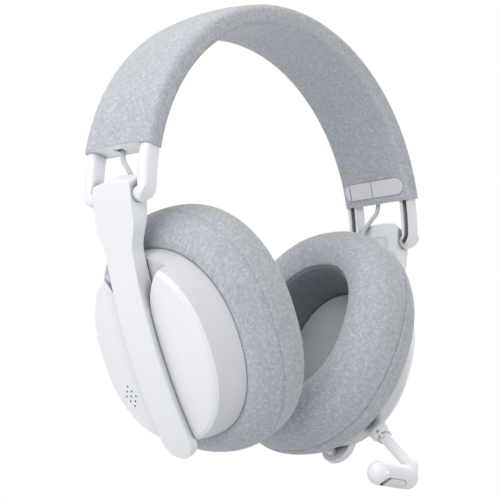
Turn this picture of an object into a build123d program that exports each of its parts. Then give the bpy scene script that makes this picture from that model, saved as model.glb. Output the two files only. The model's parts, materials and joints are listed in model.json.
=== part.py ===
"""Closed-back wireless gaming headset, modelled as the pieces that it comes apart into.

Row frame: the origin is on the underside of the headband at its crown, +X points to the
wearer's left, -Y to the front and +Z up. Lengths are millimetres, angles are degrees.

Most side pieces are drawn once, for the left side, and mirrored. Pieces of an ear cup and of
the arm that carries it are drawn in the cup frame: s runs down the cup's face, y is the row's
Y, and h stands out of the face, away from the head. The face leans in towards the chin.
"""
import os
from math import acos, copysign, cos, degrees, pi, radians, sin, sqrt, tan

from build123d import *

# ---------------------------------------------------------------- running gaps and walls
slide_gap = 0.1           # fork legs in their channels
journal_gap = 0.05        # journals and pivot pins in their bores, on the radius
pocket_gap = 0.2          # fork bosses in the arm's round pockets, on the radius
thread_gap = 0.03         # screws in their holes, on the radius
seam_gap = 0.15           # round covers, buttons and plates let into another piece
soft_gap = 0.3            # foam and knit beside what they don't belong to

# ---------------------------------------------------------------- headband
band_inner_radius = 78.3
band_thickness = 9.0      # at the edges of its width
band_crown = 1.3          # rise of the outer face in the middle of its width
band_width = 37.6
band_outer_edge = 3.0     # rounding of the two outer edges
band_inner_edge = 2.2     # rounding of the two edges on the head's side
band_half_angle = 79.2    # the knit cover ends here, from the crown
cover_thickness = 0.5
housing_length = 30.5     # end housing inside the cover, along the band
bar_drop = 2.6            # the housing's bar below the cover, at the outer face
bar_depth = 6.4           # the bar, across the band's thickness
strip_thickness = 1.0     # spring steel
strip_width = 22.0
strip_rise = 5.4          # middle of the strip over the band's inner face
strip_overlap = 6.0       # strip inside each housing
band_screw_y = 7.0        # the strip's screws, to both sides of its middle
band_screw_length = 3.2
trim_margin = 2.0         # of the band's edges past the ends of the trim on the head's side
trim_height = 7.6
trim_thickness = 1.4
trim_rise = 0.5           # of the trim over the cover
trim_above_end = 6.8      # middle of the trim, from the cover's end along the band
trim_edge = 0.3
trim_line_width = 0.45    # the two dividing lines across the trim
trim_lines = ((0.8, 0.25), (13.4, 0.35))      # (y, depth) of each

# ---------------------------------------------------------------- fork sliders
leg_rise = 4.6            # middle of the legs over the band's inner face
leg_depth = 6.8
leg_width = 5.2
leg_margin = 1.0          # of the cover's edges outside a leg
leg_edge = 2.3            # rounding of a leg's outer edges
leg_bend = 7.0            # rounding where a leg turns in to the arm
groove_width = 2.2
groove_depth = 3.6
groove_turn = 0.75        # the groove turns in this share of its bend above the trunnion
leg_hidden = 17.0         # leg inside the band
tie_length = 5.0          # cross tie between the legs' upper ends
tie_thickness = 1.6
tie_room = 4.0            # the tie's bed in the housing is open this far over it
trunnion_angle = 92.3     # trunnion axis on the legs' arc, from the crown
boss_radius = 2.9         # the leg's round end where it enters the arm
boss_reach = 2.3          # the leg's round end inside the arm's pocket
journal_radius = 2.0
journal_length = 3.2
slide_in = 3.8            # travel of the fork, degrees about the band's centre
slide_out = 3.5

# ---------------------------------------------------------------- ear cup placing
cup_lean = 24.46          # the face leans in by this much
trunnion_s = -63.17       # the trunnion axis, in the cup frame
trunnion_h = -8.33
face_radius = 230.0       # the arm and the face plates bow to this radius

# ---------------------------------------------------------------- arm
arm_height = 4.7          # top of the arm's bow over the face plane
arm_bow_s = -1.0          # where along the arm the bow is highest
arm_top_s = -70.2
arm_tip_s = 43.6
pod_gap = 1.9             # between the arm's pod and a leg
arm_half = 7.5
arm_top_dome = 45.0       # radius of the domed top
arm_top_corner = 2.6
waist_start_s = -55.0
waist_end_s = -41.0
pod_depth = 9.0
pod_foot_s = -57.0        # the pod's inner side turns in from here to the neck
pod_hollow = (-48.0, -7.4)    # (s, h) on the way
arm_neck = (-40.0, -5.4)      # (s, h) where the straight inner side starts
arm_blade = (-8.0, -2.6)      # (s, h) where the blade's even depth starts
arm_edge = 0.5
cover_start_s = -64.0     # inner cover of the arm
cover_end_s = -46.0
cover_half = 5.2
cover_plate = 1.3
cover_corner = 3.0
cover_tilt = 17.0         # slope of the arm's inner side under the cover
cover_screw_high_s = -59.0
cover_screw_low = (-49.5, -8.15)      # (s, h) on the inner side's slope
cover_screw_sink = 0.1    # of the heads under the cover's skin
arm_screw_length = 3.0

# ---------------------------------------------------------------- cup
face_s, face_y, face_power = 36.35, 28.5, 2.29
rim_s, rim_y, rim_power = 39.9, 35.3, 2.165
rim_h = -14.0
deck_h = -2.6             # the face plates sit here
shell_wall = 1.8
liner_wall = 1.4          # wall round the arm's channel, inside the shell
shell_swell = 0.5         # how far the side wall bows out half way down
face_rise = 1.7           # dome of the face plates over the face plane
plate_bevel = 0.9
channel_half = 8.0        # channel for the arm
channel_flare_s = -16.0   # above here the channel opens out
channel_flare_radius = 24.0
channel_flare_out = 16.0  # how far the flare goes out to each side
channel_clear = 0.8       # floor of the channel under the arm
channel_top_slope = 0.0875    # of the floor above the arm's neck
vent_step_s, vent_step_y, vent_radius = 2.15, 1.47, 0.45
vent_s, vent_y = 16.0, 18.4
vent_rows = 2             # rows of holes above and below the middle one

# ---------------------------------------------------------------- pivot of the cup in its arm
pivot_low = (40.4, -4.6)      # (s, h) of the lower pin's outer end
pivot_high = (-43.0, -9.0)    # (s, h) of the upper pin's outer end
pivot_pin_radius = 0.7
pivot_lug_half = 1.5
pivot_lug_length = 2.6
pivot_lug_wall = 1.1
pivot_lug_cap = 0.8       # of the lug beyond its pin's end
pivot_lug_root = 1.1      # how far the lug reaches into the arm's blade
pivot_boss_wall = 1.4     # round the pins in the cup's shell
pivot_pin_length = 6.2

# ---------------------------------------------------------------- cushion, baffle, driver
cushion_back_h = rim_h - soft_gap
cushion_front_h = -44.6
cushion_widest_h = -22.8
cushion_s, cushion_y, cushion_power = 51.4, 42.7, 2.25
cushion_lap = 1.6         # of the cushion's back outside the shell's rim
cushion_shoulder = 4.5    # how far the sides have come in at the front
well_s, well_y = 29.9, 23.4
well_room = 1.2           # of the well's foot outside the stage
baffle_thickness = 1.6
baffle_lip = 1.2              # rim of the shell outside the baffle
stage_s, stage_y = 28.6, 22.4     # raised middle of the baffle, towards the ear
stage_h = -19.0
sound_slot = (9.0, 3.2)   # length and width of the stage's slots in front of the driver
sound_slot_middle = 10.0  # radius on which they stand
sound_hole_radius = 2.4
cloth_thickness = 0.5
cloth_margin = 0.4        # of the stage outside the speaker cloth
ring_thickness = 1.6
ring_start = 1.0          # middle of the ring's inner edge outside the stage
ring_width = 4.0
ring_bore_gap = 0.4       # between the ring and the stage
driver_radius = 20.0
driver_seat = 17.0        # radius inside the rim's flat
driver_recess = 0.8       # the rim's seat in the back of the stage
driver_rim = 1.6          # thickness of the rim
driver_cone = 1.2         # depth of the cone's middle behind the rim
driver_basket = 5.0       # from the rim's face to the magnet
driver_depth = 9.0
magnet_radius = 11.0
baffle_screw_s = 31.5
baffle_screw_y = 9.0
baffle_screw_length = 6.0
baffle_post_radius = 2.4  # the shell's posts that the baffle's screws go into
screw_radius = 1.0
screw_head_radius = 1.9
screw_head_height = 1.0

# ---------------------------------------------------------------- electronics and controls
control_h = -7.6          # wheel, button and sockets stand in a row on the left cup's rear wall
board_h = -4.7            # top of the circuit board, under the shell's deck
board_thickness = 1.2
board_s = (-21.0, 18.5)
board_y = (11.5, 26.5)
board_corner = 1.5
board_margin = 0.6        # between the board's edge and the shell's inside
battery_size = (30.0, 12.0, 5.0)
battery_y = 18.0
battery_edge = 1.5
button_s = -2.0
button_length, button_height, button_rise, button_travel = 9.0, 3.6, 0.8, 0.6
button_flange, button_lip = 0.8, 0.9
wall_lean = 0.5           # how fast the cup's side wall leans out, y over h
button_stem, button_stem_radius = 0.8, 1.2
switch_length, switch_drop, switch_on_board = 6.0, 3.1, 1.5
wheel_s = -17.0
wheel_radius, wheel_thickness, wheel_out = 7.5, 2.6, 1.3
wheel_post, wheel_post_end = 1.0, 0.3
wheel_teeth = 36
port_s = 13.0
port_width, port_height, port_depth, port_wall = 9.0, 3.3, 7.5, 0.4
port_floor = 1.2
port_tongue = (6.6, 0.7)  # width and thickness
jack_s, jack_h = 29.0, -8.4
jack_radius, jack_depth, jack_body, jack_floor = 1.8, 11.0, 3.2, 1.0

# ---------------------------------------------------------------- microphone
mic_base = (28.8, -22.1, -9.4)    # on its axis, near the cup's wall, in the cup frame
mic_direction = (0.603, -0.798)   # in the cup's face plane
collar_base_radius, collar_waist_radius, collar_end_radius = 4.6, 4.3, 3.3
collar_waist, collar_length = 9.5, 12.9
collar_root = 7.0                 # how far its taper is drawn back, into the wall
collar_base = 1.0                 # end of its even part
collar_spigot, spigot_length = 2.2, 9.0
collar_notch, notch_width, notch_depth = 1.3, 4.4, 2.2
mic_tube_radius = 2.45
mic_reach = 36.5                  # end of the tube, inside the capsule
mic_plug_radius, mic_plug_length = 2.2, 9.0
capsule_radius, capsule_span = 4.9, 17.7    # span between the centres of its two round ends
capsule_drop, capsule_inset = 4.2, 3.8      # of its outer centre from the tube's end
capsule_tilt = 5.1                # its outer end hangs lower by this much
elbow_wall = 0.35                 # of the capsule round the tube's end
mute_length, mute_width, mute_depth, mute_travel = 12.4, 5.8, 1.7, 2.0
mute_middle = 11.4                # of its slot, from the capsule's outer centre
mute_turn = 60.0                  # the switch faces down by this much from straight ahead
mute_proud = 0.1
element_radius, element_depth = 2.6, 2.2
sound_bore, sound_spread = 0.4, 25.0    # the three sound holes on the mouth's side
led_radius, led_depth = 0.55, 1.5
led_along = 18.3                  # from the capsule's outer centre

# ---------------------------------------------------------------- leads
lead_radius = 1.0
lead_y = 1.0                      # the lead's bore in the end housing
lead_bore_radius = 1.5
lead_rise = 4.0                   # middle of the bore over the band's inner face
lead_notch = (4.4, 2.2)           # recess in the bar where the lead comes out
lead_top_angle = 72.5
lead_hole_gap = 0.25
lead_hole_length = 8.0            # from the lead's end out through the wall
lead_routes = {                   # X and Z from the trunnion axis, for a lead on the left side
    "l": [(-3.5, 5.0, 11.3), (-6.2, 8.4, 5.2), (-7.8, 7.4, -4.4), (-9.8, 5.2, -14.2)],
    "r": [(-3.7, -1.6, 11.0), (-6.0, -3.4, 4.8), (-7.8, -0.9, -4.4), (-9.9, 2.6, -14.0)],
}
lead_end = (-35.5, 4.2, -10.4)    # inside the shell, in the cup frame

# ================================================================ frames and helpers
band_centre_z = -band_inner_radius
band_axis = Axis((0, 0, band_centre_z), (0, 1, 0))
band_section_plane = Plane(origin=(0, 0, band_centre_z), x_dir=(0, 0, 1), z_dir=(-1, 0, 0))
band_outer_radius = band_inner_radius + band_thickness
strip_radius = band_inner_radius + strip_rise
leg_radius = band_inner_radius + leg_rise
lead_arc_radius = band_inner_radius + lead_rise
trim_length = band_width - 2 * trim_margin
leg_outer_y = band_width / 2 - leg_margin
arm_pod_half = leg_outer_y - leg_width - pod_gap
outline_steps = 28
beyond = 20.0             # how far cutting forms run past what they cut


def arc_point(radius, angle):
    """Row X and Z at an angle from the crown, on an arc about the band's centre."""
    return radius * sin(radians(angle)), band_centre_z + radius * cos(radians(angle))


trunnion_x, trunnion_z = arc_point(leg_radius, trunnion_angle)
cup_x = trunnion_x + trunnion_s * sin(radians(cup_lean)) - trunnion_h * cos(radians(cup_lean))
cup_z = trunnion_z + trunnion_s * cos(radians(cup_lean)) + trunnion_h * sin(radians(cup_lean))


def cup_frame(side):
    """The cup frame of one side, as a location: s, y, h to row coordinates."""
    sign = 1 if side == "l" else -1
    lean = radians(cup_lean)
    return Plane(origin=(sign * cup_x, 0, cup_z), x_dir=(-sign * sin(lean), 0, -cos(lean)),
                 z_dir=(sign * cos(lean), 0, -sin(lean)))


def place(solid, side):
    """Puts a piece drawn in the left cup frame on one side of the headset."""
    placed = cup_frame("l").location * solid
    return placed if side == "l" else mirror(placed, about=Plane.YZ)


def swept(section, start, end):
    """Sweeps a section drawn as (radius, y) about the band's centre, between two angles."""
    drawn = (band_section_plane * section).rotate(band_axis, start)
    return revolve(drawn, axis=band_axis, revolution_arc=end - start)


def arc_angle(length, radius=leg_radius):
    """The angle that a length along the band takes."""
    return degrees(length / radius)


def superellipse(half_s, half_y, power, h=0.0):
    """A rounded-oblong face in the cup frame, at height h."""
    points = []
    for step in range(outline_steps):
        turn = 2 * pi * step / outline_steps
        across, along = cos(turn), sin(turn)
        points.append((half_s * copysign(abs(across) ** (2 / power), across),
                       half_y * copysign(abs(along) ** (2 / power), along)))
    return Pos(0, 0, h) * make_face(Spline(points, periodic=True))


def prism(face, low, high):
    """Extrudes a face of the cup frame's s-y plane from h = low to h = high."""
    return extrude(Pos(0, 0, low) * face, amount=high - low)


def side_prism(face, half_width):
    """Extrudes a face drawn as (s, h) to both sides of the cup's middle."""
    return extrude(Plane.XZ * face, amount=half_width, both=True)


def rod(radius, length, start=0.0):
    """A round bar about Z that starts at a height and runs up, or down for a negative length."""
    bar = extrude(Circle(radius), amount=abs(length))
    return Pos(0, 0, start + min(length, 0)) * bar


def screw(length):
    """A screw with its head over the seat at Z = 0 and its shank below."""
    return rod(screw_head_radius, screw_head_height) + rod(screw_radius, -length)


# ================================================================ headband pieces
def band_section(inset=0.0):
    """Cross-section of the headband as (radius, y), inset from its outside."""
    height = band_thickness + band_crown
    dome_radius = ((band_width / 2) ** 2 + band_crown ** 2) / (2 * band_crown)
    block = Pos(band_inner_radius + height / 2, 0) * Rectangle(height, band_width)
    section = block & Pos(band_inner_radius + height - dome_radius, 0) * Circle(dome_radius)
    middle = band_inner_radius + height / 2
    section = fillet([v for v in section.vertices() if v.X > middle], band_outer_edge)
    inner = section.vertices().sort_by(Axis.X)[:2]
    section = fillet(inner, band_inner_edge)
    return offset(section, amount=-inset) if inset else section


def leg_section(growth=0.0):
    """Cross-section of the rear leg as (radius, y), grown all round by a clearance."""
    leg = Pos(leg_radius, leg_outer_y - leg_width / 2) * Rectangle(leg_depth, leg_width)
    leg = fillet([v for v in leg.vertices() if v.X > leg_radius], leg_edge)
    return offset(leg, amount=growth) if growth else leg


housing_angle = arc_angle(housing_length)
housing_start = band_half_angle - housing_angle
leg_top_angle = band_half_angle - arc_angle(leg_hidden)
tie_radius = leg_radius + leg_depth / 2 - tie_thickness / 2
bar_foot_z = arc_point(band_outer_radius, band_half_angle)[1] - bar_drop


def make_band_cover():
    """Knit sleeve, cut out where the trim is let in."""
    sleeve = swept(band_section() - band_section(cover_thickness), -band_half_angle, band_half_angle)
    return sleeve - trim_blank(seam_gap)


def trim_blank(growth=0.0):
    """The pill shape of the trim, with growth all round, on the left end's inner face."""
    angle = band_half_angle - arc_angle(trim_above_end, band_inner_radius)
    x, z = arc_point(band_inner_radius, angle)
    slope = radians(angle)
    outward = Vector(-sin(slope), 0, -cos(slope))
    seat = Plane(origin=Vector(x, 0, z) + outward * trim_rise, x_dir=(0, 1, 0), z_dir=outward)
    pill = SlotOverall(trim_length + 2 * growth, trim_height + 2 * growth)
    return extrude(seat * pill, amount=-trim_thickness)


def make_trim():
    """Pill-shaped trim plate with its two dividing lines."""
    plate = trim_blank()
    face = plate.faces().sort_by_distance(Vector(0, 0, band_centre_z))[0]
    plate = fillet(face.edges(), trim_edge)
    middle = Plane(origin=face.center(), x_dir=(0, 1, 0), z_dir=face.normal_at(face.center()))
    for y, depth in trim_lines:
        plate -= middle * Pos(y, 0, 0) * Box(trim_line_width, trim_height, 2 * depth)
    return plate


def make_spring_strip():
    """Spring steel strip over the crown, drilled for its two screws at each end."""
    end = housing_start + arc_angle(strip_overlap)
    strip = swept(Pos(strip_radius, 0) * Rectangle(strip_thickness, strip_width), -end, end)
    for seat in band_screw_places():
        strip -= seat * Cylinder(screw_radius + thread_gap, 3 * strip_thickness)
    return strip


def band_screw_places():
    """Seats of the strip's screws: just over the strip, with Z pointing to the head."""
    angle = housing_start + arc_angle(strip_overlap) / 2
    places = []
    for turn in (-angle, angle):
        x, z = arc_point(strip_radius - strip_thickness / 2 - journal_gap, turn)
        inward = (-sin(radians(turn)), 0, -cos(radians(turn)))
        seat = Plane(origin=(x, 0, z), x_dir=(0, 1, 0), z_dir=inward)
        places += [seat.location * Pos(y, 0, 0) for y in (-band_screw_y, band_screw_y)]
    return places


def make_band_screws():
    """Four screws, heads on the head's side of the strip."""
    return Compound(children=[seat * screw(band_screw_length) for seat in band_screw_places()])


def strip_slot():
    """Cross-section of the slot that the strip lies in, as (radius, y)."""
    height, width = strip_thickness + 2 * slide_gap, strip_width + 2 * slide_gap
    return Pos(strip_radius, 0) * Rectangle(height, width)


def make_band_pad():
    """Foam between the two end housings, slotted for the strip."""
    foam = swept(band_section(cover_thickness), -housing_start, housing_start)
    return foam - swept(strip_slot(), -housing_start, housing_start)


def make_bar():
    """The housing's bar between the legs, below the cover's end."""
    half = leg_outer_y - leg_width - slide_gap
    bar = swept(Pos(leg_radius, 0) * Rectangle(bar_depth, 2 * half), band_half_angle - 1, trunnion_angle)
    above = Box(4 * band_width, band_width, 2 * beyond, align=(Align.CENTER, Align.CENTER, Align.MIN))
    return bar & Pos(0, 0, bar_foot_z) * above


def make_end_housing(side):
    """End housing: guides the fork, closes the cover's end with its bar, holds the strip.

    Its inside changes three times along the band, so it is swept as three stretches.
    """
    strip_end = housing_start + arc_angle(strip_overlap)
    pocket_end = leg_top_angle + arc_angle(tie_length + slide_gap) + slide_out
    guide = band_section(cover_thickness)
    for leg in (leg_section(slide_gap), mirror(leg_section(slide_gap), about=Plane.XZ)):
        guide -= leg
    tie_height = tie_thickness + tie_room + 2 * slide_gap
    tie_bed = Rectangle(tie_height, 2 * leg_outer_y - leg_width)
    carriage = guide - Pos(tie_radius + tie_room / 2, 0) * tie_bed
    block = swept(carriage - strip_slot(), housing_start, strip_end)
    block += swept(carriage, strip_end, pocket_end)
    block += swept(guide, pocket_end, band_half_angle)
    block += make_bar()
    bore = Pos(lead_arc_radius, lead_y) * Circle(lead_bore_radius)
    block -= swept(bore, strip_end + 0.6, trunnion_angle)
    width, height = lead_notch
    notch_x = arc_point(lead_arc_radius, trunnion_angle)[0] - lead_bore_radius
    notch = Box(beyond, width, 2 * height, align=(Align.MIN, Align.CENTER, Align.CENTER))
    block -= Pos(notch_x, lead_y, bar_foot_z) * notch
    for seat in band_screw_places()[2:]:
        block -= seat * (rod(screw_head_radius + slide_gap, band_thickness)
                         + Cylinder(screw_radius + thread_gap, 2 * beyond))
    if side == "l":
        return block - trim_blank(seam_gap)
    return mirror(block, about=Plane.YZ)


# ================================================================ fork slider
def make_fork():
    """Left fork: two grooved legs on the band's arc, tied inside the band, with trunnion ends."""
    leg = swept(leg_section(), leg_top_angle, trunnion_angle)
    boss_inner = arm_pod_half - boss_reach
    lathe = Plane(origin=(trunnion_x, 0, trunnion_z), x_dir=(1, 0, 0), z_dir=(0, 1, 0))

    def turned(radius, low, high):
        return extrude(lathe.offset(low) * Circle(radius), amount=high - low)

    leg_inner_y = leg_outer_y - leg_width
    leg += turned(leg_depth / 2, leg_inner_y, leg_outer_y)
    taper = Circle(boss_radius) + Plane.XY.offset(leg_inner_y - arm_pod_half) * Circle(leg_depth / 2)
    leg += lathe.offset(arm_pod_half).location * loft(taper.faces())
    leg += turned(boss_radius, boss_inner, arm_pod_half)
    leg -= bend_corner()
    leg -= leg_groove()
    leg += turned(journal_radius, boss_inner - journal_length, boss_inner)
    tie = Pos(tie_radius, 0) * Rectangle(tie_thickness, 2 * leg_outer_y - 2 * leg_width + 1)
    tie = swept(tie, leg_top_angle, leg_top_angle + arc_angle(tie_length))
    return leg + mirror(leg, about=Plane.XZ) + tie


def bend_corner():
    """The corner outside a leg's bend, which the leg loses."""
    low = trunnion_z - leg_depth / 2
    sketch = Pos(leg_outer_y, low) * Rectangle(2 * leg_bend, 2 * leg_bend)
    sketch -= Pos(leg_outer_y - leg_bend, low + leg_bend) * (
        Circle(leg_bend) + Rectangle(leg_bend, 4 * leg_bend, align=(Align.MAX, Align.CENTER))
        + Rectangle(4 * leg_bend, 2 * leg_bend, align=(Align.CENTER, Align.MIN)))
    return extrude(Plane.YZ * sketch, amount=trunnion_x + beyond)


def leg_groove():
    """The open groove down a leg's head side, which turns in with the leg's bend."""
    middle = leg_outer_y - leg_width / 2
    bend = leg_bend - leg_width / 2
    turn_z = trunnion_z + bend * groove_turn
    path = Line((middle, band_centre_z + leg_radius), (middle, turn_z))
    path += TangentArc((middle, turn_z), (middle - bend * 0.55, turn_z - bend * 0.95), tangent=(0, -1))
    sketch = Plane.YZ * trace(path, groove_width)
    block = extrude(sketch, amount=trunnion_x + beyond)
    bed = leg_radius - leg_depth / 2 + groove_depth
    ring = Pos(bed, 0) * Rectangle(2 * beyond, 2 * band_width, align=(Align.MAX, Align.CENTER))
    return block & swept(ring, leg_top_angle, trunnion_angle + arc_angle(beyond))


# ================================================================ arm
def bow(s, height):
    """Height of an arc of the face radius over the cup's face plane."""
    return height - face_radius + sqrt(face_radius ** 2 - (s - arm_bow_s) ** 2)


def arm_side(drop=0.0):
    """Side outline of the arm as (s, h); drop moves the whole of its inner side down."""
    top_out = (arm_top_s, bow(arm_top_s, arm_height))
    tip_out = (arm_tip_s, bow(arm_tip_s, arm_height))
    pod_top = (arm_top_s, top_out[1] - pod_depth - drop)
    pod_foot = (pod_foot_s, bow(pod_foot_s, arm_height) - pod_depth - drop)
    hollow, neck, blade = [(s, h - drop) for s, h in (pod_hollow, arm_neck, arm_blade)]
    tip_in = (arm_tip_s, blade[1])
    outer = ThreePointArc(tip_out, (arm_bow_s, arm_height), top_out)
    edge = outer + Line(top_out, pod_top) + Line(pod_top, pod_foot)
    edge += ThreePointArc(pod_foot, hollow, neck)
    edge += Line(neck, blade) + Line(blade, tip_in) + Line(tip_in, tip_out)
    return make_face(edge)


def arm_front(growth=0.0):
    """Front outline of the arm as (s, y): domed pod, waist and a blade with a round tip."""
    dome = arm_top_dome - sqrt(arm_top_dome ** 2 - arm_pod_half ** 2)
    top_corner = (arm_top_s + dome, arm_pod_half)
    tip_start = (arm_tip_s - arm_half, arm_half)
    half = Line(top_corner, (waist_start_s, arm_pod_half))
    half += Spline([(waist_start_s, arm_pod_half), (waist_end_s, arm_half)], tangents=[(1, 0), (1, 0)])
    half += Line((waist_end_s, arm_half), tip_start)
    other = mirror(half, about=Plane.XZ)
    tip = ThreePointArc(tip_start, (arm_tip_s, 0), (tip_start[0], -arm_half))
    top = ThreePointArc(top_corner, (arm_top_s, 0), (top_corner[0], -arm_pod_half))
    outline = make_face(half + tip + other + top)
    corners = [v for v in outline.vertices() if v.X < top_corner[0] + 0.01]
    outline = fillet(corners, arm_top_corner)
    return offset(outline, amount=growth) if growth else outline


def pivot_plane(end):
    """Plane on the cup's pivot axis at its lower or upper end, Z pointing out of the cup."""
    low, high = Vector(pivot_low[0], 0, pivot_low[1]), Vector(pivot_high[0], 0, pivot_high[1])
    along = (low - high).normalized()
    if end == "low":
        return Plane(origin=low, x_dir=(0, 1, 0), z_dir=along)
    return Plane(origin=high, x_dir=(0, 1, 0), z_dir=-along)


def pivot_pin(end, growth=0.0):
    """One pivot pin, from its end in the arm's lug back into the cup."""
    return pivot_plane(end).location * rod(
        pivot_pin_radius + growth, pivot_pin_length + growth, growth - pivot_pin_length)


def pivot_lug(end):
    """Lug on the arm's inner side that holds one pivot pin."""
    s, h = pivot_low if end == "low" else pivot_high
    start = s - pivot_lug_length + pivot_lug_cap if end == "low" else s - pivot_lug_cap
    foot = h - pivot_pin_radius - pivot_lug_wall
    height = arm_blade[1] + pivot_lug_root - foot
    lug = Box(pivot_lug_length, 2 * pivot_lug_half, height, align=(Align.MIN, Align.CENTER, Align.MIN))
    return Pos(start, 0, foot) * lug


def arm_cover_region(growth=0.0):
    """Outline of the arm's inner cover as (s, y)."""
    length = cover_end_s - cover_start_s
    region = Pos((cover_start_s + cover_end_s) / 2, 0) * Rectangle(length, 2 * cover_half)
    region = fillet(region.vertices(), cover_corner)
    return offset(region, amount=growth) if growth else region


def arm_body():
    """The whole arm before it is parted into shell and inner cover."""
    return side_prism(arm_side(), 2 * arm_pod_half) & prism(arm_front(), -2 * beyond, beyond)


def arm_screw_places():
    """Seats of the two screws that hold the inner cover, Z pointing to the head."""
    high = (cover_screw_high_s, bow(cover_screw_high_s, arm_height) - pod_depth)
    sunk = Pos(0, 0, -cover_screw_sink - screw_head_height)
    return [Pos(s, 0, h) * Rot(0, 180 - cover_tilt, 0) * sunk for s, h in (high, cover_screw_low)]


def make_arm_cover():
    """Inner cover: a skin of the arm's own inner side, let into the shell."""
    skin = side_prism(arm_side() - Pos(0, cover_plate) * arm_side(), arm_pod_half)
    cover = skin & prism(arm_cover_region(), -2 * beyond, 0)
    for seat in arm_screw_places():
        cover -= seat * rod(screw_head_radius + slide_gap, cover_plate)
        cover -= seat * Cylinder(screw_radius, 2 * arm_screw_length)
    return cover


def make_arm_screws():
    """Two screws that hold the inner cover, heads let in."""
    return Compound(children=[seat * screw(arm_screw_length) for seat in arm_screw_places()])


def make_arm_shell():
    """Outer shell of the arm: bowed blade, pod with the trunnion pockets, lugs for the cup's pivot."""
    shell = arm_body()
    outer_edges = [e for e in shell.edges() if abs(e.center().Z - bow(e.center().X, arm_height)) < arm_edge]
    shell = fillet(outer_edges, arm_edge)
    skin = side_prism(arm_side() - Pos(0, cover_plate) * arm_side(), 2 * arm_pod_half)
    shell -= skin & prism(arm_cover_region(seam_gap), -2 * beyond, 0)
    boss_inner = arm_pod_half - boss_reach
    for sign in (-1, 1):
        pocket = Pos(trunnion_s, sign * (boss_inner - pocket_gap), trunnion_h) * Rot(sign * -90, 0, 0)
        shell -= pocket * rod(boss_radius + pocket_gap, beyond)
        shell -= pocket * Cylinder(journal_radius + journal_gap, 2 * (journal_length + seam_gap))
    for end in ("low", "high"):
        shell += pivot_lug(end)
        shell -= pivot_pin(end, journal_gap)
    for seat in arm_screw_places():
        shell -= seat * rod(screw_radius + thread_gap, -arm_screw_length)
    return shell


# ================================================================ cup
def shell_size(h):
    """Half length, half width and outline power of the cup shell at height h."""
    share = h / rim_h
    swell = shell_swell * 4 * share * (1 - share)
    return (face_s + (rim_s - face_s) * share + swell, face_y + (rim_y - face_y) * share + swell,
            face_power + (rim_power - face_power) * share)


def shell_outline(h, inset=0.0):
    """The cup shell's outside at height h, inset by a wall."""
    half_s, half_y, power = shell_size(h)
    return superellipse(half_s - inset, half_y - inset, power, h)


def shell_form():
    """The outside of the cup shell, closed and solid, from its deck to its rim."""
    return loft([shell_outline(h) for h in (deck_h, 0.55 * rim_h, rim_h)])


def wall_plane(s, h, half=1):
    """Plane on the shell's outer wall, at s and h, Z out of the wall; half is -1 for the front."""
    half_s, half_y, power = shell_size(h)
    y = half_y * (1 - abs(s / half_s) ** power) ** (1 / power)
    slope = Vector(copysign(abs(s / half_s) ** (power - 1), s) / half_s,
                   half * abs(y / half_y) ** (power - 1) / half_y, 0).normalized()
    return Plane(origin=(s, half * y, h), x_dir=(-slope.Y, slope.X, 0), z_dir=slope)


def channel_outline(growth=0.0):
    """The channel for the arm as (s, y): parallel, and flared out at the top."""
    half = channel_half + growth
    wide = half + channel_flare_out
    top_s = -2 * face_s
    flare_turn = acos(1 - channel_flare_out / channel_flare_radius)
    flare_end = (channel_flare_s - channel_flare_radius * sin(flare_turn), wide)
    flare_mid = (channel_flare_s - channel_flare_radius * sin(flare_turn / 2),
                 half + channel_flare_radius * (1 - cos(flare_turn / 2)))
    side = Line((2 * face_s, half), (channel_flare_s, half))
    side += ThreePointArc((channel_flare_s, half), flare_mid, flare_end)
    side += Line(flare_end, (top_s, wide))
    other = mirror(side, about=Plane.XZ)
    return make_face(side + Line((top_s, wide), (top_s, -wide)) + other
                     + Line((2 * face_s, -half), (2 * face_s, half)))


def channel_floor(extra=0.0):
    """Region over the channel's floor as (s, h)."""
    drop = channel_clear + extra
    neck, blade = [(s, h - drop) for s, h in (arm_neck, arm_blade)]
    top = (-2 * face_s, neck[1] - (2 * face_s + neck[0]) * channel_top_slope)
    low = (2 * face_s, blade[1])
    return make_face(Polyline(top, neck, blade, low, (low[0], beyond), (top[0], beyond), close=True))


def channel(growth=0.0, extra=0.0):
    """The channel as a solid, with growth for the wall that lines it."""
    return prism(channel_outline(growth), -beyond, beyond) & side_prism(channel_floor(extra), 2 * face_s)


def make_cup_shell(side):
    """Cup shell: flared wall and deck, hollow, with the lined channel, pivot bosses and screw posts."""
    shell = shell_form()
    inner_heights = (deck_h - shell_wall, 0.6 * rim_h, rim_h - 1)
    cavity = loft([shell_outline(h, shell_wall) for h in inner_heights])
    cavity -= channel(liner_wall, liner_wall)
    for end in ("low", "high"):
        cavity -= pivot_plane(end).location * Pos(0, 0, -pivot_pin_length) * Cylinder(
            pivot_pin_radius + pivot_boss_wall, 2 * pivot_pin_length)
    for seat in baffle_screw_places():
        cavity -= seat * rod(baffle_post_radius, 2 * rim_h, -baffle_thickness)
    shell -= cavity
    shell -= channel()
    shell -= prism(baffle_outline(), rim_h - 1, rim_h + baffle_thickness)
    for seat in baffle_screw_places():
        shell -= seat * rod(screw_radius + thread_gap, -baffle_screw_length - seam_gap)
    for end in ("low", "high"):
        shell -= pivot_pin(end)
    before, end = lead_points(side)[-2:]
    lead_hole = Plane(origin=end, z_dir=before - end).location * rod(
        lead_radius + lead_hole_gap, lead_hole_length)
    shell -= cup_frame("l").location.inverse() * lead_hole
    if side == "l":
        shell -= control_openings()
    return shell


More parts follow.
